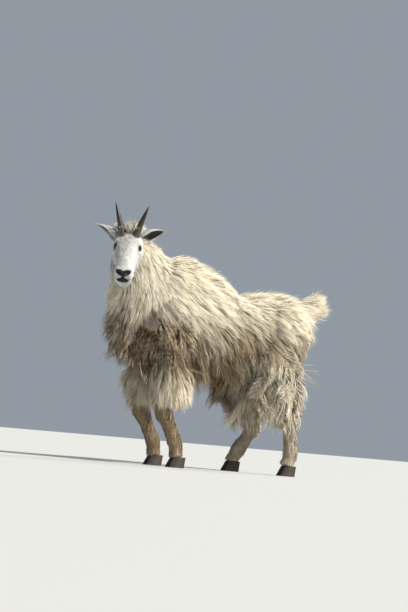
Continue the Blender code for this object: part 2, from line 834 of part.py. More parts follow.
def crown_locks():
    """The short tuft between and behind the horns."""
    locks = []
    place = head_matrix()
    for k in range(4):
        x = (k - 1.5) * 0.016
        root = place @ Vector((x, -0.012 - 0.012 * (k % 2), 0.042 - abs(x) * 0.25))
        out = (place.to_3x3() @ Vector((x * 6, 0.35, 1))).normalized()
        lie = (place.to_3x3() @ Vector((x * 10, 1.0, 0.4))).normalized()
        locks.append(Lock(root, out, lie, 0.034, 0.0085, lift=1.0, droop=0.0, sink=0.006))
    return locks


def block(name, corner, opposite, grow=0.0):
    """A closed box between two corners, pushed out by grow."""
    low = [min(a, b) - grow for a, b in zip(corner, opposite)]
    high = [max(a, b) + grow for a, b in zip(corner, opposite)]
    bm = bmesh.new()
    bmesh.ops.create_cube(bm, size=1)
    for vert in bm.verts:
        vert.co = Vector([low[i] if vert.co[i] < 0 else high[i] for i in range(3)])
    return object_of(name, bm, TOOLS)


def neck_block(grow=0.0):
    """All that lies ahead of and above the parting at the root of the neck."""
    bm = bmesh.new()
    bmesh.ops.create_cube(bm, size=1)
    bmesh.ops.translate(bm, verts=bm.verts, vec=(0, 0, 0.5 - grow))
    turn = Matrix.Rotation(math.radians(48), 4, "X")
    bm.transform(Matrix.Translation((0, -0.335, 0.745)) @ turn)
    return object_of("neck_block", bm, TOOLS)


def centre_on_origin():
    """Moves every node alike, so that the box round them all is centred over the origin."""
    points = [vert.co for obj in PARTS.objects for vert in obj.data.vertices]
    middle = [(min(p[i] for p in points) + max(p[i] for p in points)) / 2 for i in (0, 1)]
    for obj in PARTS.objects:
        obj.data.transform(Matrix.Translation((-middle[0], -middle[1], 0)))


def build():
    clear_scene()
    wool = material("long_wool", (0.78, 0.70, 0.55), 0.9)
    face = material("short_face_hair", (0.86, 0.82, 0.74), 0.8)
    leg_hair = material("leg_hair", (0.66, 0.55, 0.40), 0.85)
    ear_skin = material("ear_skin", (0.62, 0.54, 0.44), 0.7)
    horn_black = material("horn", (0.045, 0.032, 0.026), 0.35)
    hoof_black = material("hoof", (0.05, 0.042, 0.036), 0.5)
    eye_brown = material("eye", (0.03, 0.017, 0.010), 0.08)

    def finish(obj, name, look):
        obj.name = name
        obj.data.name = name
        obj.data.materials.clear()
        obj.data.materials.append(look)
        for old in list(obj.users_collection):
            old.objects.unlink(obj)
        PARTS.objects.link(obj)
        obj.data.shade_smooth()
        obj.data.set_sharp_from_angle(angle=math.radians(38))

    # The head, with its lids and beard, less its mouth line, nostrils and eye sockets.
    own_locks = beard_locks() + crown_locks()
    skull = head_core("skull")
    head_room = [copy_of(skull, GAP), eyelids(1, 2 * GAP), eyelids(-1, 2 * GAP)]
    head_room += [lock.mesh("room", GAP) for lock in own_locks]
    pieces = [eyelids(1), eyelids(-1)] + [lock.mesh("lock") for lock in own_locks]
    head = combine(skull, pieces, "UNION", largest=True)
    cutters = [mouth_cutter(), nostril_cutter(1), nostril_cutter(-1)]
    for side in (1, -1):
        cutters.append(ball("socket", eye_centre(side), (EYE_RADIUS,) * 3, eye_frame(side),
                            rings=8, sides=12, grow=GAP))
    finish(combine(head, cutters, "DIFFERENCE", largest=True), "head", face)
    growths = []
    for side, word in ((1, "left"), (-1, "right")):
        eye = ball("eye", eye_centre(side), (EYE_RADIUS,) * 3, eye_frame(side),
                   rings=8, sides=12)
        finish(eye, word + "_eye", eye_brown)
        for kind, made, look in (("_horn", horn_core("horn", side), horn_black),
                                 ("_ear", ear_shell("ear", side), ear_skin)):
            grown = combine(made, [copy_of(room) for room in head_room], "DIFFERENCE", largest=True)
            growths.append(copy_of(grown, 2 * GAP))
            finish(grown, word + kind, look)

    # The whole coated body: every core joined with every lock.
    body = trunk_loft().mesh("body", 13, 16, grow=TRUNK_COAT)
    pieces = [neck_loft().mesh("neck_core", 7, 14, grow=TRUNK_COAT),
              tail_loft().mesh("tail_core", 6, 8)]
    locks = trunk_locks() + neck_locks() + tail_locks()
    for side in (1, -1):
        pieces += [shoulder(side).mesh("shoulder"), haunch(side).mesh("haunch")]
        pieces.append(fore_leg_loft(side).mesh("fore_leg", 6, 10, grow=LEG_COAT))
        pieces.append(hind_leg_loft(side).mesh("hind_leg", 7, 10, grow=LEG_COAT))
        locks += leg_locks(side) + muscle_locks(side)
    body = combine(body, pieces + [lock.mesh("lock") for lock in locks], "UNION", largest=True)
    thin_out(body, THIN)

    # Lower legs and hooves, which the body then clears.
    rooms = head_room + growths
    for side, word in ((1, "left"), (-1, "right")):
        for kind, leg, shank in (("_fore", fore_leg_loft(side), fore_shank_loft(side)),
                                 ("_hind", hind_leg_loft(side), hind_shank_loft(side))):
            under = block("under", (-0.5, -1.0, -0.1), (0.5, 1.0, HOOF_HEIGHT + GAP))
            lower = combine(shank.mesh("shank", 9, 10), [under], "DIFFERENCE", largest=True)
            rooms.append(copy_of(lower, GAP))
            finish(lower, word + kind + "_shank", leg_hair)
            place = FORE_FOOT if kind == "_fore" else HIND_POSES[side][-1][0] + 0.004
            finish(hoof("hoof", side * (FORE_X if kind == "_fore" else HIND_X), place, 0.0),
                   word + kind + "_hoof", hoof_black)
        rooms.append(ear_room(side))
    body = combine(body, rooms, "DIFFERENCE", largest=True)

    # The body is parted into nodes, a hair's breadth between each two.
    cells = {"neck": neck_block, "tail": lambda grow=0.0: block(
        "tail_block", (-0.055, 0.424, 0.640), (0.055, 0.7, 1.0), grow)}
    for side, word in ((1, "left"), (-1, "right")):
        near, far = side * 0.010, side * 0.4
        cells[word + "_fore_leg"] = lambda grow=0.0, a=near, b=far: block(
            "fore_block", (a, -0.405, -0.1), (b, -0.140, 0.450), grow)
        cells[word + "_hind_leg"] = lambda grow=0.0, a=near, b=far: block(
            "hind_block", (a, 0.110, -0.1), (b, 0.70, 0.500), grow)
    for name, cell in cells.items():
        finish(combine(copy_of(body), [cell()], "INTERSECT", largest=True), name, wool)
        body = combine(body, [cell(GAP)], "DIFFERENCE")
    finish(combine(body, [], "UNION", largest=True), "torso", wool)
    for helper in list(TOOLS.objects):
        bpy.data.objects.remove(helper)
    centre_on_origin()


build()
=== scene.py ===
"""The looks of a life-size mountain goat nanny in a partly shed coat, as a still model.

Metres, +Z up. She faces -Y and her left side is +X. One skin takes the place of the solids of
flesh, long tufts of hair grow from it, and the horns, eyes and hooves are pieces of their own.
"""
import math

import bpy
import numpy as np
from mathutils import Matrix, Vector
from mathutils.kdtree import KDTree


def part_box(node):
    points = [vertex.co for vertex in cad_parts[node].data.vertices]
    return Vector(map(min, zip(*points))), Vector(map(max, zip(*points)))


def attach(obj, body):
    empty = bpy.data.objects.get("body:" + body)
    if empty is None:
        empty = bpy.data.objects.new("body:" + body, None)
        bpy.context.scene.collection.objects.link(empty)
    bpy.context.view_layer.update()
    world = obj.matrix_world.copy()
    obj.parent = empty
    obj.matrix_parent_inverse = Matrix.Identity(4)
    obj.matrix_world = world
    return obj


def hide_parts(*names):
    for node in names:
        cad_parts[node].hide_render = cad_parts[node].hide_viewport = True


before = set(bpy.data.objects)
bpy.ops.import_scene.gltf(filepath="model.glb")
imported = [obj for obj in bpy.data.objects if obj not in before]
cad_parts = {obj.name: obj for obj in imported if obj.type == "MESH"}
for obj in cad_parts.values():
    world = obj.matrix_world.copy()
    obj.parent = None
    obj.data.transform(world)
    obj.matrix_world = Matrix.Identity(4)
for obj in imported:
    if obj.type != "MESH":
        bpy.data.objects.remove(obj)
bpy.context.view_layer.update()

# The body's skin
# The hide under the coat, from the brisket to the coronets. It is lofted limb by limb, then
# remeshed into one closed surface, so that shoulders and haunches run into the trunk.
WITHERS, RUMP, BELLY = 0.876, 0.775, 0.462
TRUNK_FRONT, TRUNK_BACK = -0.478, 0.392
CHEST_HALF, BARREL_HALF = 0.118, 0.136
FORE_X, HIND_X = 0.100, 0.098
HOOF_HEIGHT = 0.046
SKIN_VOXEL = 0.0055


def unit(v):
    v = np.asarray(v, float)
    return v / np.maximum(np.linalg.norm(v, axis=-1, keepdims=True), 1e-9)


def ease(low, high, value):
    """0 below low and 1 above high, with a smooth step between. low may be above high."""
    t = np.clip((np.asarray(value, float) - low) / (high - low), 0, 1)
    return t * t * (3 - 2 * t)


def smooth_rows(rows, t):
    """Smooth values at t, from 0 to 1, through evenly spaced rows of numbers."""
    rows = np.asarray(rows, float)
    last = len(rows) - 1
    place = np.clip(t, 0, 1) * last
    i = np.minimum(place.astype(int), last - 1)
    f = (place - i)[:, None]
    a, b = rows[np.maximum(i - 1, 0)], rows[i]
    c, d = rows[i + 1], rows[np.minimum(i + 2, last)]
    return 0.5 * (2 * b + (c - a) * f + (2 * a - 5 * b + 4 * c - d) * f ** 2
                  + (3 * b - a - 3 * c + d) * f ** 3)


def ring_quads(rings, sides):
    """Quads along a tube of rings, open at both ends."""
    k, i = np.meshgrid(np.arange(rings - 1), np.arange(sides), indexing="ij")
    j = (i + 1) % sides
    quads = np.stack([k * sides + i, k * sides + j, (k + 1) * sides + j, (k + 1) * sides + i], -1)
    return [tuple(quad) for quad in quads.reshape(-1, 4).tolist()]


def tube_faces(rings, sides):
    """Quads along a tube of rings, with a face over each end."""
    ends = [tuple(range(sides))[::-1], tuple(range((rings - 1) * sides, rings * sides))]
    return ring_quads(rings, sides) + ends


def loft(stations, rings, sides, boxy=1.0):
    """Points and faces of a limb: each station is a centre, a half width and two depths.

    boxy under 1 squares its section a little.
    """
    centres = np.array([s[0] for s in stations], float)
    sizes = np.array([s[1:4] for s in stations], float)
    v = np.linspace(0, 1, rings)
    centre, size = smooth_rows(centres, v), smooth_rows(sizes, v)
    along = unit(smooth_rows(centres, v + 0.01) - smooth_rows(centres, v - 0.01))
    side = unit(np.array([1.0, 0, 0]) - along * along[:, :1])
    depth = np.cross(along, side)
    turn = 2 * np.pi * np.arange(sides) / sides
    c = np.sign(np.cos(turn)) * np.abs(np.cos(turn)) ** boxy
    s = np.sign(np.sin(turn)) * np.abs(np.sin(turn)) ** boxy
    reach = np.where(s > 0, size[:, 1:2], size[:, 2:3]) * s
    points = (centre[:, None] + side[:, None] * (c * size[:, :1])[..., None]
              + depth[:, None] * reach[..., None])
    return points.reshape(-1, 3), tube_faces(rings, sides)


def egg(centre, radii, rings=16, sides=20):
    """Points and faces of an ellipsoid."""
    t = np.linspace(0.02, math.pi - 0.02, rings)
    a = 2 * np.pi * np.arange(sides) / sides
    points = np.stack([np.outer(np.sin(t), np.cos(a)), np.outer(np.sin(t), np.sin(a)),
                       np.repeat(np.cos(t)[:, None], sides, 1)], -1)
    return points.reshape(-1, 3) * np.array(radii) + np.array(centre), tube_faces(rings, sides)


def trunk():
    profile = (
        # half width, top, bottom, at even steps from the brisket to the tail's root
        (0.022, 0.625, 0.560),
        (0.094, 0.748, 0.466),
        (CHEST_HALF, WITHERS - 0.002, 0.440),
        (CHEST_HALF + 0.006, WITHERS - 0.002, 0.434),
        (CHEST_HALF + 0.010, WITHERS - 0.036, 0.442),
        (BARREL_HALF, RUMP + 0.008, BELLY - 0.004),
        (BARREL_HALF, RUMP - 0.006, BELLY + 0.006),
        (0.128, RUMP, BELLY + 0.022),
        (0.110, RUMP - 0.003, 0.512),
        (0.030, RUMP - 0.090, 0.610),
    )
    stations = []
    for k, (half, top, low) in enumerate(profile):
        middle = low + 0.52 * (top - low)
        y = TRUNK_FRONT + (TRUNK_BACK - TRUNK_FRONT) * k / (len(profile) - 1)
        stations.append(((0, y, middle), half, middle - low, top - middle))
    return loft(stations, 48, 48, 0.94)


def neck():
    return loft((
        ((0, -0.270, 0.630), 0.090, 0.172, 0.130),
        ((0, -0.325, 0.705), 0.102, 0.166, 0.135),
        ((0, -0.375, 0.780), 0.090, 0.134, 0.118),
        ((0, -0.415, 0.850), 0.076, 0.102, 0.086),
        ((0.002, -0.446, 0.912), 0.062, 0.078, 0.056),
        ((0.008, -0.468, 0.952), 0.042, 0.046, 0.038),
    ), 30, 36)


def leg_loft(x, rings, rows):
    """A stretch of leg. A row is its share of x, y, z, half width and the two depths."""
    return loft([((x * out, y, z), *sizes) for out, y, z, *sizes in rows], rings, 24)


def fore_leg(side):
    """Upper arm, forearm, knee, cannon, fetlock and pastern, down to the coronet."""
    upper = leg_loft(side * FORE_X, 24, (
        (0.86, -0.300, 0.560, 0.046, 0.062, 0.062),
        (0.95, -0.288, 0.480, 0.046, 0.060, 0.074),
        (1, -0.280, 0.400, 0.040, 0.048, 0.064),
        (1, -0.284, 0.325, 0.034, 0.038, 0.050),
        (1, -0.290, 0.262, 0.030, 0.034, 0.036),
    ))
    lower = leg_loft(side * FORE_X, 40, (
        (1, -0.291, 0.300, 0.029, 0.033, 0.034),
        (1, -0.290, 0.262, 0.031, 0.036, 0.034),
        (1, -0.284, 0.230, 0.032, 0.037, 0.034),
        (1, -0.270, 0.198, 0.026, 0.027, 0.031),
        (1, -0.254, 0.166, 0.023, 0.024, 0.029),
        (1, -0.240, 0.140, 0.023, 0.024, 0.029),
        (1, -0.226, 0.114, 0.027, 0.027, 0.034),
        (1, -0.217, 0.091, 0.026, 0.027, 0.032),
        (1, -0.213, 0.068, 0.026, 0.028, 0.029),
        (1, -0.210, HOOF_HEIGHT, 0.030, 0.033, 0.030),
    ))
    return upper, lower


HIND_POSES = {
    # side of the body: y and z of hip, stifle, the place above the hock, hock, cannon,
    # fetlock, pastern and coronet
    1: ((0.298, 0.630), (0.228, 0.500), (0.320, 0.305), (0.352, 0.236), (0.360, 0.165),
        (0.368, 0.108), (0.365, 0.077), (0.357, HOOF_HEIGHT)),
    -1: ((0.285, 0.620), (0.175, 0.470), (0.240, 0.272), (0.276, 0.198), (0.248, 0.148),
         (0.217, 0.103), (0.201, 0.074), (0.188, HOOF_HEIGHT)),
}


def between(first, second, share):
    """A place that is a share of the way from the first to the second."""
    return [a * (1 - share) + b * share for a, b in zip(first, second)]


def hind_leg(side):
    """Thigh, gaskin and hock, then the cannon down to the coronet."""
    x = side * HIND_X
    hip, stifle, above, hock, cannon, fetlock, pastern, coronet = HIND_POSES[side]
    upper = leg_loft(x, 28, (
        (0.80, *hip, 0.058, 0.100, 0.105),
        (1.02, stifle[0] + 0.012, stifle[1], 0.058, 0.092, 0.108),
        (1.02, *between(stifle, above, 0.5), 0.044, 0.066, 0.072),
        (1, *above, 0.031, 0.044, 0.042),
    ))
    lower = leg_loft(x, 40, (
        (1, *between(hock, above, 0.85), 0.027, 0.032, 0.036),
        (1, hock[0] + 0.002, hock[1] + 0.012, 0.030, 0.034, 0.040),
        (1, *hock, 0.030, 0.034, 0.036),
        (1, *between(hock, cannon, 0.4), 0.026, 0.027, 0.031),
        (1, *cannon, 0.023, 0.024, 0.029),
        (1, *fetlock, 0.027, 0.027, 0.034),
        (1, *pastern, 0.026, 0.027, 0.030),
        (1, *coronet, 0.030, 0.033, 0.030),
    ))
    heel = egg((x, hock[0] + 0.026, hock[1] + 0.028), (0.014, 0.016, 0.024))
    return upper, lower, heel


def tail():
    return loft((
        ((0, 0.335, 0.730), 0.034, 0.026, 0.026),
        ((0, 0.392, 0.742), 0.028, 0.022, 0.022),
        ((0, 0.438, 0.758), 0.020, 0.016, 0.016),
        ((0, 0.474, 0.776), 0.010, 0.008, 0.008),
    ), 14, 16)


def joined(shapes):
    """One list of points and faces from several."""
    points, faces, count = [], [], 0
    for shape_points, shape_faces in shapes:
        points.append(shape_points)
        faces += [tuple(i + count for i in face) for face in shape_faces]
        count += len(shape_points)
    return np.concatenate(points), faces


def placed(name, data):
    """A new object of a mesh, a lamp or a camera, in the scene."""
    obj = bpy.data.objects.new(name, data)
    bpy.context.scene.collection.objects.link(obj)
    return obj


def new_object(name, points, faces):
    mesh = bpy.data.meshes.new(name)
    mesh.from_pydata([tuple(p) for p in points], [], faces)
    mesh.update()
    return placed(name, mesh)


def read_points(mesh, what="co"):
    """The places of a mesh's points, or their normals."""
    values = np.zeros(len(mesh.vertices) * 3)
    mesh.vertices.foreach_get(what, values)
    return values.reshape(-1, 3)


def fused(shapes, voxel, rounds):
    """Points and faces of shapes fused into one closed surface and smoothed."""
    obj = new_object("fused", *joined(shapes))
    fuse = obj.modifiers.new("fuse", "REMESH")
    fuse.mode = "VOXEL"
    fuse.voxel_size = voxel
    soften = obj.modifiers.new("soften", "SMOOTH")
    soften.factor = 0.5
    soften.iterations = rounds
    graph = bpy.context.evaluated_depsgraph_get()
    mesh = bpy.data.meshes.new_from_object(obj.evaluated_get(graph))
    bpy.data.objects.remove(obj)
    return read_points(mesh), [tuple(face.vertices) for face in mesh.polygons]


# Each side's legs are followed by its shoulder and haunch, and the brisket comes last.
limbs = [trunk(), neck(), tail()]
for side in (1, -1):
    limbs += [*fore_leg(side), *hind_leg(side)]
    limbs.append(egg((side * 0.085, -0.290, 0.600), (0.066, 0.100, 0.150)))
    limbs.append(egg((side * 0.080, 0.280, 0.625), (0.074, 0.125, 0.130)))
limbs.append(egg((0, -0.412, 0.665), (0.078, 0.058, 0.100)))
body_points, body_faces = fused(limbs, SKIN_VOXEL, rounds=8)

# The head
# A narrow, deep head with a straight nose line. It is one dense lofted grid in a frame of
# its own, -Y ahead and the poll at the origin, with brows, cheekbones, nostrils, lips and
# eye sockets pushed in or out of it.
POLL = np.array([0.010, -0.479, 0.962])
HEAD_YAW, HEAD_PITCH, HEAD_ROLL = math.radians(58), math.radians(38), math.radians(1.5)
HEAD_LENGTH = 0.260
HEAD_RINGS, HEAD_SIDES, END_RINGS = 180, 150, 16
HEAD_SECTIONS = (
    # place from poll to nose, half width, top, bottom
    (-0.020, 0.040, 0.022, -0.055),
    (0.012, 0.053, 0.040, -0.080),
    (0.045, 0.057, 0.050, -0.092),
    (0.078, 0.058, 0.049, -0.096),
    (0.105, 0.054, 0.042, -0.094),
    (0.135, 0.048, 0.032, -0.088),
    (0.165, 0.042, 0.023, -0.083),
    (0.195, 0.038, 0.015, -0.080),
    (0.220, 0.038, 0.009, -0.082),
    (0.242, 0.036, 0.002, -0.082),
    (0.255, 0.029, -0.007, -0.073),
    (HEAD_LENGTH, 0.013, -0.018, -0.052),
)
FACE_FORMS = (
    # centre, radius, height: brow, cheekbone, jaw, hollow before the eye, nostril wing,
    # upper lip, chin, crown, temple, nose ridge
    ((0.047, -0.083, 0.032), 0.020, 0.0070),
    ((0.053, -0.103, -0.008), 0.016, 0.0030),
    ((0.044, -0.060, -0.052), 0.034, 0.0060),
    ((0.034, -0.130, -0.012), 0.020, -0.0035),
    ((0.028, -0.232, -0.004), 0.013, 0.0035),
    ((0.024, -0.238, -0.034), 0.016, 0.0024),
    ((0.013, -0.240, -0.072), 0.015, 0.0030),
    ((0.000, -0.045, 0.054), 0.026, 0.0050),
    ((0.050, -0.060, 0.010), 0.016, -0.0030),
    ((0.000, -0.190, 0.018), 0.014, 0.0015),
)
NOSTRIL = np.array([0.0185, -0.2515, -0.0120])
MOUTH_LEVEL = -0.0405
EYE_PLACE = np.array([0.0440, -0.092, 0.012])
EYE_RADIUS = 0.0135

HEAD_TURN = np.array(Matrix.Rotation(HEAD_YAW, 3, "Z") @ Matrix.Rotation(HEAD_PITCH, 3, "X")
                     @ Matrix.Rotation(HEAD_ROLL, 3, "Y"))


def from_head(points):
    """Points of the head's own frame, in the body's frame."""
    return np.asarray(points) @ HEAD_TURN.T + POLL


def into_head(points):
    return (np.asarray(points) - POLL) @ HEAD_TURN


def eye_turn(side):
    """Columns: along the lid slit, across it, and out along the sight."""
    sight = unit(np.array([side * 0.70, -0.63, 0.34]))
    slit = np.array([0, -0.92, -0.38])
    slit = unit(slit - sight * slit.dot(sight))
    return np.stack([slit, np.cross(sight, slit), sight], 1)


# The model's place over the origin is read off the eye, the one piece that both share.
low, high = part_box("left_eye")
ORIGIN = np.array((low + high) / 2) - from_head(EYE_PLACE)


def on_side(place, side):
    """A place on the left of the head, or its mirror image on the right."""
    return place * np.array([side, 1, 1])


def bell(value, reach):
    """1 where the value is 0, falling to 0 over the reach."""
    return np.exp(-(value / reach) ** 2)


def mouth_height(ahead):
    """The level of the mouth's line at a place along the head: it rises a little in front."""
    return MOUTH_LEVEL - 0.012 * ease(0.245, 0.185, ahead)


def head_grid():
    v = np.linspace(0, 1, HEAD_RINGS - END_RINGS)
    v = v - 0.035 * np.sin(2 * np.pi * v) / (2 * np.pi)
    ahead, half, top, low = smooth_rows(HEAD_SECTIONS, v).T
    level = top - 0.42 * (top - low)
    turn = 2 * np.pi * np.arange(HEAD_SIDES) / HEAD_SIDES
    c, s = np.cos(turn), np.sin(turn)
    narrow = np.where(s > 0, 0.88, 1.18)
    x = np.sign(c) * np.abs(c) ** narrow * half[:, None]
    z = level[:, None] + np.where(s > 0, s * (top - level)[:, None], s * (level - low)[:, None])
    points = np.stack([x, np.repeat(-ahead[:, None], HEAD_SIDES, 1), z], -1)
    # The flat end of the muzzle is closed by rings of its own, so that its forms stay fine.
    middle = points[-1:].mean(1, keepdims=True)
    shrink = 1 - 0.985 * np.arange(1, END_RINGS + 1)[:, None, None] / END_RINGS
    dome = np.array([0, -0.0030, 0]) * (1 - shrink ** 2)
    return np.concatenate([points, middle + (points[-1:] - middle) * shrink + dome])


def grid_normals(points):
    around = np.roll(points, -1, 1) - np.roll(points, 1, 1)
    return unit(np.cross(around, np.gradient(points, axis=0)))


def shaped_head():
    points = head_grid()
    normal = grid_normals(points)
    middle = points.mean(1, keepdims=True) + np.array([0, 0.02, 0])
    normal *= np.sign((normal * (points - middle)).sum(-1, keepdims=True) + 1e-9)
    push = np.zeros(points.shape[:2])
    for centre, radius, height in FACE_FORMS:
        for side in ((1, -1) if centre[0] else (1,)):
            away = np.linalg.norm(points - on_side(centre, side), axis=-1)
            push += height * bell(away, radius)
    ahead = -points[..., 1]
    # The lips: a groove with a soft roll above and below it, from the corners to the front.
    drop = points[..., 2] - mouth_height(ahead)
    here = ease(0.180, 0.196, ahead)
    push -= 0.0030 * bell(drop, 0.0019) * here
    push += 0.0016 * bell(drop - 0.0060, 0.0040) * here
    push += 0.0014 * bell(drop + 0.0060, 0.0045) * here
    for side in (1, -1):
        # Nostrils: a slit that opens wide in front and curls up behind, with a raised wing.
        local = points - on_side(NOSTRIL, side)
        up = local[..., 2] - 0.25 * side * local[..., 0]
        hole = (local[..., 0] / 0.0085) ** 2 + (local[..., 1] / 0.0120) ** 2 + (up / 0.0050) ** 2
        push -= 0.0085 * np.exp(-hole * 1.2)
        push += 0.0018 * bell(np.sqrt(hole) - 1.9, 0.55)
        # Eye sockets: an almond let in by the eyeball, and a low roll round it.
        eye = (points - on_side(EYE_PLACE, side)) @ eye_turn(side)
        almond = np.hypot(eye[..., 0] / 0.0150, eye[..., 1] / 0.0105)
        out = eye[..., 2] > 0
        push -= 0.0080 * ease(1.15, 0.75, almond) * out
        push += 0.0020 * bell(almond - 1.55, 0.35) * out
    return points + normal * push[..., None]


LID_RIBS, LID_RING = 10, 40


def eyelids(side):
    """Upper and lower lid as one almond ring that lies on the eyeball."""
    a = 2 * np.pi * np.arange(LID_RING) / LID_RING
    points = []
    for t in np.linspace(0, 1, LID_RIBS):
        high = np.where(np.sin(a) > 0, 0.0074, 0.0064) + 0.0070 * t
        u = (0.0118 + 0.0066 * t) * np.cos(a)
        w = high * np.sin(a) * (1 - 0.18 * np.cos(a) ** 2)
        radius = EYE_RADIUS + 0.0011 + 0.0016 * math.sin(math.pi * min(t * 1.25, 1))
        rise = np.sqrt(np.maximum(radius ** 2 - (u ** 2 + w ** 2) * 0.80, 2e-6)) - 0.0030 * t
        points.append(np.stack([u, w, rise], -1))
    points = np.concatenate(points) @ eye_turn(side).T + on_side(EYE_PLACE, side)
    faces = ring_quads(LID_RIBS, LID_RING)
    return points, faces if side > 0 else [face[::-1] for face in faces]


EAR_LENGTH, EAR_HALF_WIDTH = 0.112, 0.0275
EAR_ROWS, EAR_COLUMNS = 40, 25


def ear(side):
    """A leaf-shaped cup of thin skin, open forwards and outwards, with a rolled root."""
    root = np.array([side * 0.040, -0.004, 0.016])
    way = unit(np.array([side * 0.86, 0.24, 0.18]))
    opening = np.array([0.18, -0.95, -0.12]) if side > 0 else np.array([-0.25, -0.75, -0.55])
    opening = unit(opening - way * opening.dot(way))
    across = np.cross(way, opening)
    rows, columns = EAR_ROWS, EAR_COLUMNS
    t = np.linspace(0, 1, rows)[:, None]
    s = np.linspace(-1, 1, columns)[None]
    half = EAR_HALF_WIDTH * np.sin(np.pi * np.minimum(0.28 + 0.72 * t, 0.985)) ** 0.80
    curl = np.radians(150 - 78 * t ** 0.8)
    bow = 0.010 * np.sin(np.pi * t)
    radius = half / np.sin(np.minimum(curl, np.pi / 2))
    a = s * curl
    middle = root + way * (EAR_LENGTH * t)[..., None] - opening * bow[..., None]
    sheet = (middle + across * (radius * np.sin(a))[..., None]
             + opening * (radius * (1 - np.cos(a)) * 0.72)[..., None])
    normal = unit(np.cross(np.gradient(sheet, axis=0), np.gradient(sheet, axis=1)))
    normal *= np.sign((normal @ opening).mean())
    thick = 0.0013 + 0.0012 * (1 - t)
    inner, outer = sheet + normal * thick[..., None], sheet - normal * thick[..., None]
    points = np.concatenate([inner.reshape(-1, 3), outer.reshape(-1, 3)])
    count = rows * columns
    faces = []
    for r in range(rows - 1):
        for c in range(columns - 1):
            q = (r * columns + c, r * columns + c + 1, (r + 1) * columns + c + 1,
                 (r + 1) * columns + c)
            faces.append(q)
            faces.append(tuple(count + i for i in q[::-1]))
    edge = ([(0, c) for c in range(columns)] + [(r, columns - 1) for r in range(1, rows)]
            + [(rows - 1, c) for c in range(columns - 2, -1, -1)]
            + [(r, 0) for r in range(rows - 2, 0, -1)])
    for (r0, c0), (r1, c1) in zip(edge, edge[1:] + edge[:1]):
        i, j = r0 * columns + c0, r1 * columns + c1
        faces.append((j, i, count + i, count + j))
    return points, faces, (way, across, root)


head_points = shaped_head()
head_shapes = [(head_points.reshape(-1, 3), tube_faces(HEAD_RINGS, HEAD_SIDES))]
ears = {side: ear(side) for side in (1, -1)}
for side in (1, -1):
    head_shapes.append(eyelids(side))
    head_shapes.append(ears[side][:2])
local_points, head_faces = joined(head_shapes)
skin_shapes = [(body_points, body_faces), (from_head(local_points), head_faces)]
skin = new_object("skin", *joined(skin_shapes))
skin.data.transform(Matrix.Translation(ORIGIN))
BODY_COUNT, HEAD_COUNT = len(body_points), HEAD_RINGS * HEAD_SIDES
LID_COUNT, EAR_COUNT = LID_RIBS * LID_RING, 2 * EAR_ROWS * EAR_COLUMNS


def attribute(mesh, name, values):
    """Stores one number for each point of a mesh."""
    layer = mesh.attributes.new(name, "FLOAT", "POINT")
    layer.data.foreach_set("value", np.ascontiguousarray(values, np.float32))


# Markings, the same for skin and coat. Each gives, for points of the body, how strongly
# they show: soil is the tan dirt and old wool of the lower body, stain the rusty yellow of
# the legs, dark the bare black skin of nose, lips and lids. Under the belly soil and stain
# are partly dirt and partly painted shade of the belly's underside.
def soil_of(p):
    y, z = p.T[1:]
    edge = 0.625 + 0.030 * np.sin(y * 15 + 0.6) + 0.020 * np.sin(y * 39 + 1.3)
    edge = edge + 0.02 * ease(-0.15, -0.36, y) + 0.05 * ease(-0.36, -0.44, y)
    flank = ease(edge + 0.13, edge - 0.12, z)
    chest = ease(-0.22, -0.34, y) * ease(0.40, 0.48, z)
    chaps = ease(0.50, 0.40, z) * ease(-0.12, -0.20, y) * ease(0.24, 0.30, z)
    thighs = ease(0.00, 0.12, y) * ease(0.58, 0.48, z) * (0.55 + 0.45 * ease(0.17, 0.26, z))
    # The underside of the belly is painted dark brown, partly as dirt and partly as painted shade
    # under the body.
    belly_dirt_and_shade = ease(0.52, 0.43, z) * ease(-0.24, -0.14, y) * ease(0.17, 0.05, y)
    belly_dirt_and_shade = belly_dirt_and_shade * ease(0.24, 0.34, z)
    share = 0.95 * flank - 0.26 * chest - 0.64 * chaps - 0.84 * thighs + 0.95 * belly_dirt_and_shade
    return np.clip(share + 0.16 * neck_warmth(p), 0, 1.5)


def neck_warmth(p):
    """The sides of the neck and shoulder, where the fresh coat is a warm straw colour."""
    return ease(-0.16, -0.26, p[:, 1]) * ease(0.66, 0.74, p[:, 2]) * ease(0.92, 0.86, p[:, 2])


def stain_of(p):
    x, y, z = p.T
    legs = ease(0.27, 0.17, z) * (0.10 + 0.20 * ease(0.05, 0.20, y))
    spots = ease(0.35, 0.95, np.sin(y * 70 + 1) * np.sin(z * 62) * np.cos(x * 55 + 0.5))
    legs = legs * (0.50 + 1.10 * spots)
    rump = 0.08 * ease(0.28, 0.44, y) * ease(0.62, 0.78, z)
    # Under the belly the rust is partly dirt and partly painted shade under the body.
    belly_dirt_and_shade = 0.60 * ease(0.52, 0.44, z) * ease(-0.24, -0.14, y) * ease(0.22, 0.10, y)
    return np.clip(legs + rump + belly_dirt_and_shade, 0, 1)


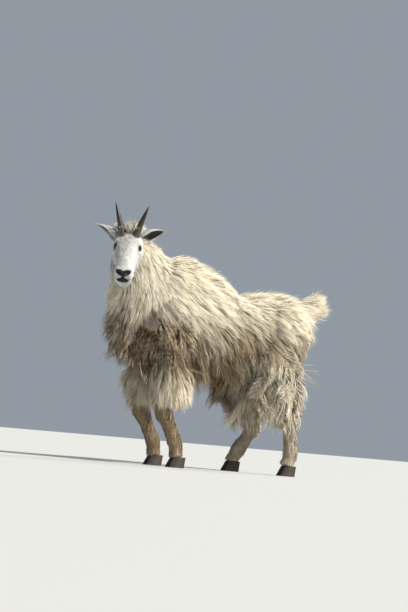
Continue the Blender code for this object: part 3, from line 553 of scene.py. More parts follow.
def head_masks(q):
    """Bare black skin of nose, lips and lids, for points in the head's frame."""
    ahead, side_x = -q[:, 1], np.abs(q[:, 0])
    # How high a point of the muzzle's end stands, square to its slope.
    rise = 0.568 * q[:, 1] + 0.824 * q[:, 2]
    front = ease(0.222, 0.232, ahead)
    top = -0.1400 - 0.0050 * bell(side_x, 0.0070)
    bottom = -0.1695 + 0.0105 * (side_x / 0.0260) ** 2
    nose = (ease(0.0335, 0.0300, side_x) * ease(top + 0.0012, top - 0.0012, rise)
            * ease(bottom - 0.0012, bottom + 0.0012, rise) * front)
    cleft = ease(0.0085, 0.0055, side_x + 0.25 * (rise + 0.170))
    cleft = cleft * ease(-0.182, -0.180, rise) * ease(-0.164, -0.166, rise)
    mouth = ease(1.12, 0.92, np.hypot((rise + 0.1840) / 0.0094, side_x / 0.0250))
    drop = np.abs(q[:, 2] - mouth_height(ahead))
    lips = ease(0.0034, 0.0018, drop) * ease(0.190, 0.204, ahead)
    lids = np.zeros(len(q))
    for side in (1, -1):
        eye = (q - on_side(EYE_PLACE, side)) @ eye_turn(side)
        # The lid slit points forwards and down. The bare rim is turned from it by 45 degrees,
        # of which 0.7071 is the cosine, so that it lies level.
        level, upright = 0.7071 * (eye[:, 1] - eye[:, 0]), 0.7071 * (eye[:, 1] + eye[:, 0])
        almond = np.hypot(level / 0.0205, upright / 0.0130)
        lids = np.maximum(lids, ease(1.12, 0.96, almond) * (eye[:, 2] > 0))
    return np.clip(np.maximum.reduce([nose, cleft * front, mouth * front, lips, lids]), 0, 1)


# The middles (y, z) of a small oval of the left shoulder that has shed its hair. The skin is
# discoloured a little above the hairless oval too, where the coat hangs over it.
SHED_SKIN, SHED_HAIR = (-0.386, 0.622), (-0.384, 0.610)


def bare_patch(p, middle):
    """1 on the oval round a middle, and 0 off it."""
    ahead, up = (p[:, 1:] - np.array(middle)).T
    oval = np.hypot((up - 0.2 * ahead) / 0.037, (ahead + 0.2 * up) / 0.015)
    return ease(1.25, 0.80, oval) * (p[:, 0] > 0.03)


all_points = np.concatenate([body_points, from_head(local_points)])
on_head = np.arange(len(all_points)) >= BODY_COUNT
dark, inner = np.zeros(len(all_points)), np.zeros(len(all_points))
dark[BODY_COUNT:] = head_masks(local_points)
rim = np.abs(np.linspace(-1, 1, EAR_COLUMNS))[None] * np.ones((EAR_ROWS, 1))
fade = ease(0.92, 0.62, rim) * ease(0.99, 0.90, np.linspace(0, 1, EAR_ROWS))[:, None]
# Each lid is black along the eye and fades outwards, and each ear's cup is painted dark up
# to its rim as painted shade in the cup.
for n in range(2):
    lid = BODY_COUNT + HEAD_COUNT + n * (LID_COUNT + EAR_COUNT)
    cup = lid + LID_COUNT
    dark[lid:cup] = np.repeat(np.linspace(1.6, 0.4, LID_RIBS).clip(0, 1), LID_RING)
    inner[cup:cup + EAR_COUNT // 2] = fade.reshape(-1)
attribute(skin.data, "soil", soil_of(all_points) * ~on_head)
attribute(skin.data, "stain", stain_of(all_points) * ~on_head)
attribute(skin.data, "face", on_head)
attribute(skin.data, "shed", bare_patch(all_points, SHED_SKIN) * ~on_head)
attribute(skin.data, "dark", dark)
attribute(skin.data, "ear_cup_shade", inner)


def linear(hex_colour):
    """A linear RGBA colour from an sRGB hex value."""
    parts = [int(hex_colour[i:i + 2], 16) / 255 for i in (1, 3, 5)]
    return (*(c / 12.92 if c <= 0.04045 else ((c + 0.055) / 1.055) ** 2.4 for c in parts), 1)


def plug(tree, made, inputs):
    """Sets a node's inputs to values, and links those that are given another's socket."""
    for key, given in inputs.items():
        if isinstance(given, bpy.types.NodeSocket):
            tree.links.new(given, made.inputs[key])
        else:
            made.inputs[key].default_value = given
    return made


def node(tree, kind, inputs=(), **settings):
    """Adds a node with its settings and its inputs."""
    made = tree.nodes.new(kind)
    for key, value in settings.items():
        setattr(made, key, value)
    return plug(tree, made, dict(inputs))


def blank(name):
    """A new material, its node tree and its principled shader."""
    made = bpy.data.materials.new(name)
    made.use_nodes = True
    return made, made.node_tree, made.node_tree.nodes["Principled BSDF"]


def painted(tree, colour, layers):
    """Lays colours over a colour, each by the mesh's attribute of its name."""
    for name, over in layers:
        share = node(tree, "ShaderNodeAttribute", attribute_name=name).outputs["Fac"]
        colour = node(tree, "ShaderNodeMix", {0: share, 6: colour, 7: over},
                      data_type="RGBA").outputs[2]
    return colour


def scale_of(millimetres):
    """A texture's scale for features this far apart."""
    return 1000 / millimetres


# The hair's cream and the face's white, the tan of dirt and old wool, and the rusty stains.
CREAM, WHITE, TAN, RUST = (linear(h) for h in ("#FAF2DD", "#E3E5E4", "#A08A6A", "#6E5136"))
MARKINGS = (("soil", TAN), ("stain", RUST))

# Hide with short hair: matte and mottled in 18 mm patches. The hair's grain is under a
# millimetre, so it is drawn coarser, at about 2 mm, to show at all.
hide, tree, shader = blank("goat_hide")
place = node(tree, "ShaderNodeTexCoord").outputs["Object"]
mottle = node(tree, "ShaderNodeTexNoise",
              {"Vector": place, "Scale": scale_of(18.18), "Detail": 4.0})
colour = painted(tree, linear("#CFC4AE"), (("face", linear("#B5B4B2")), *MARKINGS))
colour = node(tree, "ShaderNodeMix", {0: 0.35, 6: colour, 7: mottle.outputs["Fac"]},
              data_type="RGBA", blend_type="OVERLAY").outputs[2]
# The ears' cups are painted near black as painted shade. The shed oval is bare grey skin, and nose,
# lips and lids are bare black skin.
colour = painted(tree, colour, (("ear_cup_shade", linear("#241D1A")), ("shed", linear("#A0938F")),
                                ("dark", linear("#0A090A"))))
grain = node(tree, "ShaderNodeTexNoise",
             {"Vector": place, "Scale": scale_of(2.0833), "Detail": 3.0})
bump = node(tree, "ShaderNodeBump",
            {"Strength": 0.35, "Distance": 0.0008, "Height": grain.outputs["Fac"]})
plug(tree, shader, {"Base Color": colour, "Normal": bump.outputs["Normal"], "Roughness": 0.62})
skin.data.materials.append(hide)
skin.data.shade_smooth()
FLESH = ["head", "neck", "torso", "tail", "left_ear", "right_ear"]
FLESH += [f"{side}_{end}_{piece}" for side in ("left", "right") for end in ("fore", "hind")
          for piece in ("leg", "shank")]
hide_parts(*FLESH)
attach(skin, "root")

# The long coat
# Guard hair up to 12 cm long over old wool that is coming away. Each tuft is a thin tapered
# blade of a few hairs that leaves the skin, bends into the coat's lie and draws together with
# its neighbours into long bundles. On the lower body the wool is crimped and matted.


class Ground:
    """A stretch of skin to grow hair on: the triangles whose points all lie in a range."""

    def __init__(self, first, last):
        mesh = skin.data
        mesh.calc_loop_triangles()
        tris = np.zeros(len(mesh.loop_triangles) * 3, np.int64)
        mesh.loop_triangles.foreach_get("vertices", tris)
        tris = tris.reshape(-1, 3)
        self.tris = tris[(tris >= first).all(1) & (tris < last).all(1)]
        self.points, self.normals = read_points(mesh) - ORIGIN, read_points(mesh, "normal")
        a, b, c = (self.points[self.tris[:, k]] for k in range(3))
        self.area = np.linalg.norm(np.cross(b - a, c - a), axis=1) / 2
        self.middle = (a + b + c) / 3

    def scatter(self, per_square_metre, seed):
        """Random roots, as places and normals. The density is a function of the place."""
        rng = np.random.default_rng(seed)
        weight = self.area * per_square_metre(self.middle)
        count = int(weight.sum())
        pick = np.searchsorted(np.cumsum(weight), rng.random(count) * weight.sum())
        pick = np.minimum(pick, len(self.tris) - 1)
        u, v = rng.random(count), rng.random(count)
        flip = u + v > 1
        u[flip], v[flip] = 1 - u[flip], 1 - v[flip]
        share = np.stack([1 - u - v, u, v], -1)[..., None]
        tri = self.tris[pick]
        return (self.points[tri] * share).sum(1), unit((self.normals[tri] * share).sum(1))


def along_skin(normal, wish):
    """The wished lie of the hair, laid into the skin."""
    return unit(wish - normal * (wish * normal).sum(-1, keepdims=True))


def bundle_leaders(root, lie, gap, stretch, rng):
    """Groups roots into cells a gap wide, stretched along the lie, each with one leader."""
    cell = 0.02
    area = len(np.unique(np.floor(root / cell).astype(int), axis=0)) * cell ** 2 * 0.8
    heads = rng.permutation(len(root))[:max(int(area / (gap ** 2 * stretch)), 9)]
    tree = KDTree(len(heads))
    for i, h in enumerate(heads):
        tree.insert(root[h], i)
    tree.balance()
    near = heads[np.array([[hit[1] for hit in tree.find_n(p, 8)] for p in root])]
    away = root[:, None] - root[near]
    along = (away * lie[near]).sum(-1)
    apart = (away ** 2).sum(-1) - (1 - 1 / stretch ** 2) * along ** 2
    return near[np.arange(len(root)), apart.argmin(1)]


def blade_mesh(name, points, joints):
    """A mesh of blades of pairs of points that end in one point, and its triangles' points."""
    count, each = points.shape[:2]
    faces = []
    for k in range(0, 2 * joints - 2, 2):
        faces += [(k, k + 1, k + 3), (k, k + 3, k + 2)]
    faces.append((each - 3, each - 2, each - 1))
    tris = (np.array(faces)[None] + (np.arange(count) * each)[:, None, None]).reshape(-1)
    mesh = bpy.data.meshes.new(name)
    mesh.vertices.add(count * each)
    mesh.vertices.foreach_set("co", points.astype(np.float32).ravel())
    mesh.loops.add(len(tris))
    mesh.loops.foreach_set("vertex_index", tris.astype(np.int32))
    mesh.polygons.add(len(tris) // 3)
    mesh.polygons.foreach_set("loop_start", np.arange(0, len(tris), 3, dtype=np.int32))
    mesh.update(calc_edges=True)
    return mesh, tris


# Beyond this the hair of the right flank is pressed in, and lies flatter.
FAR_SIDE = -0.168


def coat_piece(name, root, normal, lie, length, width, uv, material, seed, lift=0.8, rise=0.0,
               droop=0.3, draws=(0.5, 0.4), gaps=(0.010, 0.024), stretch=2.5, ragged=0.10,
               wave=0.0, crimp=0.022, curl=0.0, stray=0.0, frizz=0.10, joints=5, facing=0.5,
               tone=1.0, matted=0.0, soil=0.0):
    """A mesh of tufts. Most settings are numbers, or one number per tuft.

    lift is how steeply a tuft leaves the skin and rise how steeply it ends. Tufts gather into
    bundles at each of the gaps, by the shares in draws. wave is the height of the crimp, crimp
    its length and curl its swing to the sides. stray bends each bundle a way of its own.
    matted darkens the roots and the crimp's hollows more, as painted shade, and soil is added to the
    body's markings.
    """
    rng = np.random.default_rng(seed)
    count = len(root)
    length, width, lift, rise, droop, wave, curl, stray, matted, frizz, tone = (
        np.broadcast_to(np.asarray(v, float), (count,)).copy()
        for v in (length, width, lift, rise, droop, wave, curl, stray, matted, frizz, tone))
    owners = [bundle_leaders(root, lie, gap, stretch, rng) for gap in gaps]
    shade = rng.normal(0, 0.45, count)
    for own in owners:
        shade += rng.normal(0, 0.60, count)[own]
        length *= 1 + ragged * rng.normal(0, 1, count)[own].clip(-1.6, 1.6)
    length *= rng.uniform(0.75, 1.12, count)
    steps = np.arange(joints + 1) / joints
    jitter = rng.normal(0, 1, (count, 3)) * frizz[:, None]
    for own, part in zip(owners, (0.6, 1.0)):
        jitter += rng.normal(0, part, (count, 3))[own] * stray[:, None]
    path = [root - normal * np.minimum(0.0015, 0.06 * length)[:, None]]
    for k in range(joints):
        t = (k + 0.5) / joints
        up = lift * (1 - t) ** 1.3 + rise * t
        way = lie + normal * up[:, None] + jitter * (0.7 + 0.8 * t)
        way[:, 2] -= droop * t
        path.append(path[-1] + unit(way) * (length / joints)[:, None])
    path = np.stack(path, 1)
    for own, draw in zip(owners, draws):
        draw = np.broadcast_to(np.asarray(draw, float), (count,))
        gather = path[own] - path
        gather -= 0.85 * lie[:, None] * (gather * lie[:, None]).sum(-1, keepdims=True)
        path = path + gather * (draw[:, None] * steps[None] ** 1.2)[..., None]
    # A bundle's tufts crimp as one, by the place along it, and each bundle in its own phase.
    grain = lie[owners[0]][:, None]
    phase = rng.uniform(0, 2 * np.pi, count)[owners[0]] + rng.normal(0, 0.35, count)
    pitch = (crimp * rng.uniform(0.75, 1.4, count)[owners[0]])[:, None]
    swing = (path * grain).sum(-1) * 2 * np.pi / pitch + phase[:, None]
    grown = np.minimum(steps * 2.5, 1)[None]
    across = np.cross(lie, normal)
    path = path + normal[:, None] * (np.sin(swing) * wave[:, None] * grown)[..., None]
    path = path + across[:, None] * (np.cos(swing) * curl[:, None] * grown)[..., None]
    # The crimp's troughs are darkened as painted shade, the more the deeper the crimp and the more
    # matted the wool.
    crimped = np.clip(wave / 0.002, 0, 1) * (0.35 + 0.65 * matted)
    hollow_shade = (0.5 - 0.5 * np.sin(swing)) * crimped[:, None] * grown
    path[..., 0] += 0.6 * np.maximum(FAR_SIDE - path[..., 0], 0)
    step = unit(np.gradient(path, axis=1))
    look = unit(normal + rng.normal(0, facing, (count, 3)))
    flat = unit(np.cross(step, look[:, None]))
    taper = np.linspace(1, 0, joints + 1)[:-1] ** 0.55
    half = (width[:, None] * taper[None] / 2)[..., None]
    each = 2 * joints + 1
    points = np.empty((count, each, 3))
    points[:, 0:-1:2] = path[:, :-1] - flat[:, :-1] * half
    points[:, 1:-1:2] = path[:, :-1] + flat[:, :-1] * half
    points[:, -1] = path[:, -1]
    mesh, tris = blade_mesh(name, points + ORIGIN, joints)
    # Each tuft gets a small patch of the OFBake map at its root's place on the unwrapped skin.
    joint = np.concatenate([np.repeat(np.arange(joints), 2), [joints]])
    sides = np.concatenate([np.tile([0.0, 1.0], joints), [0.5]])
    patch = np.stack([sides - 0.5, joint / joints - 0.5], -1) * 0.003
    spots = np.clip(uv, 0.002, 0.998)[:, None] + patch[None]
    layer = mesh.uv_layers.new(name="OFBake")
    layer.data.foreach_set("uv", spots.reshape(-1, 2)[tris].astype(np.float32).ravel())
    attribute(mesh, "tip", np.tile(joint / joints, count))
    attribute(mesh, "hollow_shade", hollow_shade[:, joint].reshape(-1))
    for word, values in (("tone", np.clip(0.5 + 0.20 * shade * tone, 0, 1)), ("matted", matted),
                         ("soil", soil_of(root) + soil), ("stain", stain_of(root))):
        attribute(mesh, word, np.repeat(values, each))
    outward = np.cross(flat, step)
    outward *= np.sign((outward * normal[:, None]).sum(-1, keepdims=True) + 1e-9)
    soft = unit(0.50 * outward + 0.50 * normal[:, None])[:, joint].reshape(-1, 3)
    mesh.polygons.foreach_set("use_smooth", np.ones(len(tris) // 3, bool))
    mesh.normals_split_custom_set_from_vertices(soft.astype(np.float32))
    obj = placed(name, mesh)
    mesh.materials.append(material)
    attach(obj, "root")
    return obj


def hair_material(name, base, root_shade, clean_crease, matted_crease, patch_size=62.5,
                  patchy=0.25):
    """Hair in tufts, with painted shade at the root and in the crimp's hollows, and each tuft its own
    tone.

    Its colour drifts in patches of patch_size, in millimetres. The sheen is the light that
    scatters off a coat seen along its surface.
    """
    made, tree, shader = blank(name)
    place = node(tree, "ShaderNodeTexCoord").outputs["Object"]
    tip, hollow_shade, matted, tone = (
        node(tree, "ShaderNodeAttribute", attribute_name=word).outputs["Fac"]
        for word in ("tip", "hollow_shade", "matted", "tone"))
    drift = node(tree, "ShaderNodeTexNoise",
                 {"Vector": place, "Scale": scale_of(patch_size), "Detail": 3.0})
    colour = painted(tree, base, MARKINGS)
    colour = node(tree, "ShaderNodeMix", {0: patchy, 6: colour, 7: drift.outputs["Fac"]},
                  data_type="RGBA", blend_type="OVERLAY").outputs[2]
    # Painted shade: the roots darken towards the skin, more where the wool is matted, and the crimp's
    # hollows darker still.
    low = node(tree, "ShaderNodeMapRange",
               {"Value": tip, "From Max": 0.80, "To Min": 1.0, "To Max": 0.0})
    crease = node(tree, "ShaderNodeMapRange",
                  {"Value": matted, "To Min": clean_crease, "To Max": matted_crease})
    rooted = node(tree, "ShaderNodeMath", {0: low.outputs[0], 1: crease.outputs[0]},
                  operation="MULTIPLY")
    depth = node(tree, "ShaderNodeMath", {0: hollow_shade, 1: 0.75, 2: rooted.outputs[0]},
                 operation="MULTIPLY_ADD", use_clamp=True)
    shift = node(tree, "ShaderNodeMapRange", {"Value": tone, "To Min": 0.70, "To Max": 1.18})
    tint = node(tree, "ShaderNodeCombineColor",
                {word: shift.outputs[0] for word in ("Red", "Green", "Blue")})
    for share, over in ((depth.outputs[0], root_shade), (1.0, tint.outputs["Color"])):
        colour = node(tree, "ShaderNodeMix", {0: share, 6: colour, 7: over}, data_type="RGBA",
                      blend_type="MULTIPLY").outputs[2]
    plug(tree, shader, {"Base Color": colour, "Roughness": 0.72, "Specular IOR Level": 0.22,
                        "Sheen Weight": 0.20, "Sheen Roughness": 0.5})
    return made


# Long guard hair: creamy, darker towards the roots, most where it is matted. That darkening is partly
# the brown wool under it and partly painted shade in the depth of the coat.
long_hair = hair_material("long_guard_hair", CREAM, linear("#7E664A"), 0.42, 0.90)

NECK_PLACE, NECK_WAY = np.array([0, -0.335, 0.745]), np.array([0, -0.743, 0.669])


def neck_share(p):
    """How far a place belongs to the neck's coat."""
    return ease(-0.04, 0.08, (p - NECK_PLACE) @ NECK_WAY)


def tail_share(p):
    """How far a place belongs to the tail's brush."""
    return ease(0.395, 0.430, p[:, 1]) * ease(0.66, 0.70, p[:, 2])


# Guide hairs on her side: a place (y, z) on the coat, then the way (y, z) its hair points.
GUIDE_HAIRS = np.array((
    (-0.33, 0.93, 0.85, -0.35),
    (-0.39, 0.91, 0.55, -0.75),
    (-0.40, 0.80, 0.30, -0.95),
    (-0.30, 0.81, 0.75, -0.62),
    (-0.25, 0.76, 0.85, -0.50),
    (-0.17, 0.87, 0.92, -0.28),
    (-0.07, 0.80, 0.92, -0.36),
    (0.12, 0.78, 0.97, -0.20),
    (0.32, 0.755, 0.95, -0.25),
    (-0.325, 0.67, 0.78, -0.62),
    (-0.385, 0.62, 0.15, -1.00),
    (-0.37, 0.53, 0.00, -1.00),
    (-0.43, 0.60, -0.80, -0.65),
    (-0.44, 0.52, -0.80, -0.70),
    (-0.32, 0.55, 0.55, -0.83),
    (-0.39, 0.46, -0.65, -0.80),
    (-0.33, 0.44, 0.00, -1.00),
    (-0.26, 0.46, 0.50, -0.85),
    (-0.10, 0.65, 0.85, -0.50),
    (-0.09, 0.53, 0.45, -0.90),
    (-0.08, 0.40, 0.10, -1.00),
    (0.24, 0.65, 0.80, -0.55),
    (0.095, 0.675, 0.90, -0.42),
    (0.108, 0.552, 0.55, -0.85),
    (0.04, 0.477, 0.25, -1.00),
    (0.33, 0.53, 0.35, -0.95),
    (0.43, 0.71, 0.60, -0.80),
    (-0.45, 0.72, -0.35, -0.95),
    (-0.50, 0.60, -0.50, -0.90),
))
# How high the hair stands over the spine: a place along the back and a lift.
BACK_LIFT = ((-0.42, 0.20), (-0.37, 0.70), (-0.32, 0.80), (-0.25, 0.64), (-0.17, 0.54), (-0.09, 0.48),
             (-0.02, 0.52), (0.06, 0.36), (0.14, 0.55), (0.26, 0.62), (0.40, 0.60))


def matted_of(p):
    """How matted the old wool is: the chest, lower flank and thighs."""
    y, z = p.T[1:]
    edge = 0.62 + 0.05 * ease(-0.15, -0.36, y) + 0.02 * np.sin(y * 21) + 0.012 * np.sin(y * 47)
    old = ease(edge + 0.07, edge - 0.07, z)
    chaps = ease(0.47, 0.38, z) * ease(-0.05, -0.15, y)
    shanks = ease(0.26, 0.20, z)
    return old * (1 - 0.75 * chaps) * (1 - 0.5 * shanks)


def crimped_chest(p):
    """Where the wool hangs in crimped locks: the chest and the shoulder."""
    y, z = p.T[1:]
    return ease(-0.17, -0.29, y) * ease(0.41, 0.47, z) * ease(0.715, 0.64, z)


def matted_thigh(p, n):
    """Where it is felted into thick curls: the outside of the thighs."""
    y, z = p.T[1:]
    here = ease(-0.02, 0.06, y) * ease(0.36, 0.30, y) * ease(0.60, 0.52, z) * ease(0.24, 0.31, z)
    return here * ease(0.25, 0.7, np.abs(n[:, 0]))


def coat_wish(p, n):
    """Where the hair of each place points, before it is laid into the skin."""
    x, y, z = p.T
    apart = (y[:, None] - GUIDE_HAIRS[:, 0]) ** 2 + (z[:, None] - GUIDE_HAIRS[:, 1]) ** 2
    weight = 1 / (apart + 0.045 ** 2) ** 2
    side_way = unit(weight @ unit(GUIDE_HAIRS[:, 2:]))
    way = np.stack([0.22 * n[:, 0], side_way[:, 0], side_way[:, 1]], -1)
    fan = np.where(y < 0, 15.0, 7.0)
    leg_y = np.where(y < 0, -0.290, 0.26 + 0.30 * np.clip(0.5 - z, 0, 0.3) * np.sign(x))
    spread = ease(0.24, 0.34, z)
    leg_way = np.stack([6.0 * (x - np.sign(x) * FORE_X) * spread, fan * (y - leg_y) * spread,
                        -np.ones(len(p))], -1)
    tail_way = np.stack([0.8 * n[:, 0], np.ones(len(p)), np.where(n[:, 2] > -0.2, 0.50, -0.6)], -1)
    legs, rear = ease(0.52, 0.42, z)[:, None], tail_share(p)[:, None]
    way = unit(way) * (1 - legs) + unit(leg_way) * legs
    return way * (1 - rear) + unit(tail_way) * rear


def coat_length(p, n):
    """Hair length over the body: longest under the belly and on the chaps, short on the shanks."""
    x, y, z = p.T
    up, under = np.maximum(n[:, 2], 0), np.maximum(-n[:, 2], 0) * ease(0.44, 0.36, y)
    ahead, behind = np.maximum(-n[:, 1], 0), np.maximum(n[:, 1], 0)
    length = 0.080 + 0.030 * bell(y + 0.24, 0.20) * up + 0.020 * up * ease(0.0, 0.2, y)
    length += 0.012 * ease(0.66, 0.52, z) + 0.105 * under * ease(0.56, 0.48, z)
    length += 0.030 * under * ease(0.12, 0.20, y) * ease(0.36, 0.30, y)
    length += 0.024 * under * ease(0.54, 0.48, z) * ease(-0.24, -0.18, y) * ease(0.06, 0.00, y)
    length += 0.036 * ease(-0.38, -0.46, y) * ease(0.86, 0.70, z)
    length += 0.022 * ahead * ease(-0.38, -0.44, y) * ease(0.66, 0.72, z) * ease(0.90, 0.84, z)
    length += 0.018 * ease(-0.42, -0.46, y) * ease(0.60, 0.52, z)
    length -= neck_share(p) * (0.016 * ease(0.80, 0.90, z)) + 0.030 * ease(0.91, 0.97, z)
    inward = np.maximum(-n[:, 0] * np.sign(x), 0)
    hind = 0.085 + 0.045 * behind * ease(0.34, 0.42, z) + 0.065 * inward + 0.040 * ahead
    hind = hind * (1 - 0.65 * behind * ease(0.36, 0.31, z))
    fringe = np.where(y < 0, 0.125, hind)
    high = np.where(y < 0, ease(0.285, 0.375, z), ease(0.24, 0.33, z))
    lower = 0.017 + 0.010 * ease(0.11, 0.22, z) - 0.007 * ease(0.08, 0.05, z)
    lower = lower + 0.007 * ease(0.05, 0.15, y) * ease(0.06, 0.10, z)
    share = ease(0.50, 0.43, z)
    length = length * (1 - share) + (lower + (fringe - lower) * high) * share
    near = bare_zone(p)
    length = length * (1 - near) + 0.016 * near
    rear = tail_share(p)
    return length * (1 - rear) + 0.104 * rear


def bare_zone(p):
    """The hair just above and round the bare patch, which is kept short."""
    x, y, z = p.T
    return ease(1.2, 0.8, np.hypot((z - 0.652) / 0.066, (y + 0.400) / 0.026)) * (x > 0.03)


def coat_style(p, n, length):
    """How the tufts of each place stand, gather and crimp.

    The silky hair of the back lies close over the withers and stands up on the loin. The chest
    stands out in crimped locks, the thighs are felted in curls, and the chaps are straight.
    """
    y, z = p.T[1:]
    up, front, behind = np.maximum(n[:, 2], 0), np.maximum(-n[:, 1], 0), np.maximum(n[:, 1], 0)
    long_share = np.clip(length / 0.07, 0, 1)
    matted, tail = matted_of(p), tail_share(p)
    back = ease(0.25, 0.75, up) * (1 - tail)
    chest = front * ease(0.42, 0.50, z) * ease(-0.25, -0.40, y)
    crimped, felted = crimped_chest(p), matted_thigh(p, n)
    chaps = ease(0.50, 0.42, z) * ease(-0.05, -0.15, y)
    haunch = behind * ease(0.20, 0.30, y) * ease(0.66, 0.56, z)
    soft = ease(0.68, 0.76, z) * ease(-0.14, -0.26, y)
    lift = 0.16 + 0.34 * long_share + 0.70 * chest + 0.20 * felted + 0.15 * chaps + 0.35 * haunch
    lift = lift * (1 - back) + np.interp(y, *np.transpose(BACK_LIFT)) * back
    return dict(
        lift=lift, matted=np.maximum(matted, 0.5 * ease(0.54, 0.48, z)) * (1 - 0.85 * felted),
        rise=0.05 + 0.05 * back + 0.42 * chest + 0.10 * tail + 0.12 * haunch + 0.10 * chaps,
        droop=0.12 + 0.12 * matted - 0.08 * tail - 0.10 * chest,
        wave=(0.0006 * matted + 0.0016 * crimped + 0.0012 * felted) * long_share,
        curl=(0.0004 * matted + 0.0008 * crimped + 0.0010 * felted) * long_share,
        stray=0.04 + 0.08 * matted + 0.14 * crimped + 0.30 * felted + 0.04 * back,
        frizz=0.10 + 0.03 * matted + 0.05 * tail + 0.04 * back + 0.04 * soft,
        tone=1.0 - 0.45 * soft + 0.70 * matted + 0.50 * felted,
        draws=(0.42 + 0.28 * matted - 0.10 * soft, 0.18 + 0.10 * matted + 0.30 * felted))


def cylinder_uv(p, centre, axis):
    """A place on a wrap round an axis: turn across, and distance up."""
    d = p - np.array(centre)
    if axis == "y":
        turn, far = np.arctan2(d[:, 0], d[:, 2]), d[:, 1]
    else:
        turn, far = np.arctan2(d[:, 0], -d[:, 1]), d[:, 2]
    far = (far - far.min()) / max(float(np.ptp(far)), 1e-6)
    return np.stack([turn / (2 * np.pi) + 0.5, far], -1)


body_ground = Ground(0, BODY_COUNT)


def grow(name, keep, budget, seed, centre, axis, width=0.0026, joints=5):
    """One piece of the long coat, over the part of the body that keep picks.

    budget is its number of triangles.
    """
    area = (body_ground.area * keep(body_ground.middle)).sum()
    density = budget / (2 * joints - 1) / area

    def per_square_metre(p):
        return density * keep(p) * (1 - bare_patch(p, SHED_HAIR))

    root, normal = body_ground.scatter(per_square_metre, seed)
    length = coat_length(root, normal)
    width = width * (0.50 + 0.50 * np.clip(length / 0.07, 0, 1))
    coat_piece(name, root, normal, along_skin(normal, coat_wish(root, normal)), length, width,
               cylinder_uv(root, centre, axis), long_hair, seed, joints=joints,
               **coat_style(root, normal, length))


# The borders between the pieces of the coat, as heights, and as a place along the back.
LEG_TOP, SHANK_TOP, FLANK_TOP, TAIL_START = 0.455, 0.23, 0.66, 0.405


def is_leg(p):
    return p[:, 2] < LEG_TOP


def is_neck(p):
    return ((p - NECK_PLACE) @ NECK_WAY > 0) & ~is_leg(p)


def is_trunk(p, high):
    """The back, where high is True, or the flanks."""
    return ~is_leg(p) & ~is_neck(p) & ((p[:, 2] > FLANK_TOP) == high) & (p[:, 1] < TAIL_START)


grow("back_coat_fore", lambda p: is_trunk(p, True) & (p[:, 1] < 0), 165000, 11,
     (0, 0, FLANK_TOP), "y", width=0.0023)
grow("back_coat_rear", lambda p: is_trunk(p, True) & (p[:, 1] >= 0), 145000, 12,
     (0, 0, FLANK_TOP), "y", width=0.0024)
for side, word, flank, throat in ((1, "left", 155000, 125000), (-1, "right", 112000, 98000)):
    grow(word + "_flank_coat", lambda p: is_trunk(p, False) & (p[:, 0] * side > 0), flank,
         20 + side, (0, 0, 0.60), "y", width=0.0030, joints=7)
    grow(word + "_neck_coat", lambda p: is_neck(p) & (p[:, 0] * side > 0), throat, 30 + side,
         (0, -0.40, 0.80), "z", joints=6)
    for end, x, y, bends, seed in (("fore", FORE_X, -0.25, 5, 40), ("hind", HIND_X, 0.28, 7, 47)):
        for part, low, high, budget, joints in (
                ("thigh", SHANK_TOP, LEG_TOP, 85000, bends),
                ("shank", HOOF_HEIGHT + 0.002, SHANK_TOP, 30000, 3)):
            grow(f"{word}_{end}_{part}_coat",
                 lambda p: (p[:, 2] < high) & (p[:, 2] >= low) & (p[:, 0] * side > 0)
                 & (p[:, 1] * y > 0),
                 budget, seed + side, (side * x, y, 0.3), "z", width=0.0030, joints=joints)
grow("tail_coat", lambda p: ~is_leg(p) & (p[:, 1] >= TAIL_START), 45000, 61, (0, 0.45, 0.74), "y")

# The head's hair
# Short white hair that lies back from the nose, longer on the cheeks and jaw, a beard under
# the chin, and a pale tuft between and behind the horns.
head_ground = Ground(BODY_COUNT, BODY_COUNT + HEAD_COUNT)
# Short white hair, grey towards the roots as painted shade, mottled in patches of 13 mm.
face_hair = hair_material("short_white_hair", WHITE, linear("#A39F98"), 0.45, 0.8, 13.333, 0.40)
# The crown's longer hair: clean, and pale down to its roots.
crown_hair = hair_material("crown_hair", linear("#FFFBF0"), linear("#F0ECE2"), 0.20, 0.5)


# Tufts for each square metre of the face, and of the backs of the ears.
FACE_TUFTS, EAR_TUFTS = 330000, 300000


def face_length(q):
    """Hair length over the head, for points in its own frame."""
    ahead, low = -q[:, 1], q[:, 2]
    length = 0.0062 + 0.0090 * ease(0.19, 0.08, ahead)
    under = ease(-0.036, -0.070, low)
    length += 0.036 * under * ease(0.240, 0.17, ahead) + 0.040 * under * ease(0.17, 0.06, ahead)
    length += 0.016 * ease(0.00, -0.04, low) * ease(0.18, 0.10, ahead)
    length += 0.040 * ease(0.06, 0.00, ahead) * ease(0.02, -0.03, low)
    chin = ease(-0.058, -0.068, low) * ease(0.20, 0.22, ahead) * ease(0.252, 0.240, ahead)
    from_eye = np.linalg.norm(np.stack([np.abs(q[:, 0]), q[:, 1], low], -1) - EYE_PLACE, axis=1)
    return (length + 0.014 * chin) * (1 - 0.55 * ease(0.030, 0.018, from_eye))


def face_dusk(q):
    """The greyish mottled brow, and the dusky hair before the eyes."""
    brow = bell(q[:, 0], 0.040) * bell(q[:, 1] + 0.085, 0.035) * (q[:, 2] > 0)
    before = bell(np.abs(q[:, 0]) - 0.040, 0.010) * bell(q[:, 1] + 0.135, 0.035)
    return 0.34 * brow + 0.16 * before


def face_density(q):
    """Tufts for each square metre: none on bare skin, or where the neck's coat starts."""
    return np.where(q[:, 1] > 0.012, 0, FACE_TUFTS * (1 - head_masks(q)))


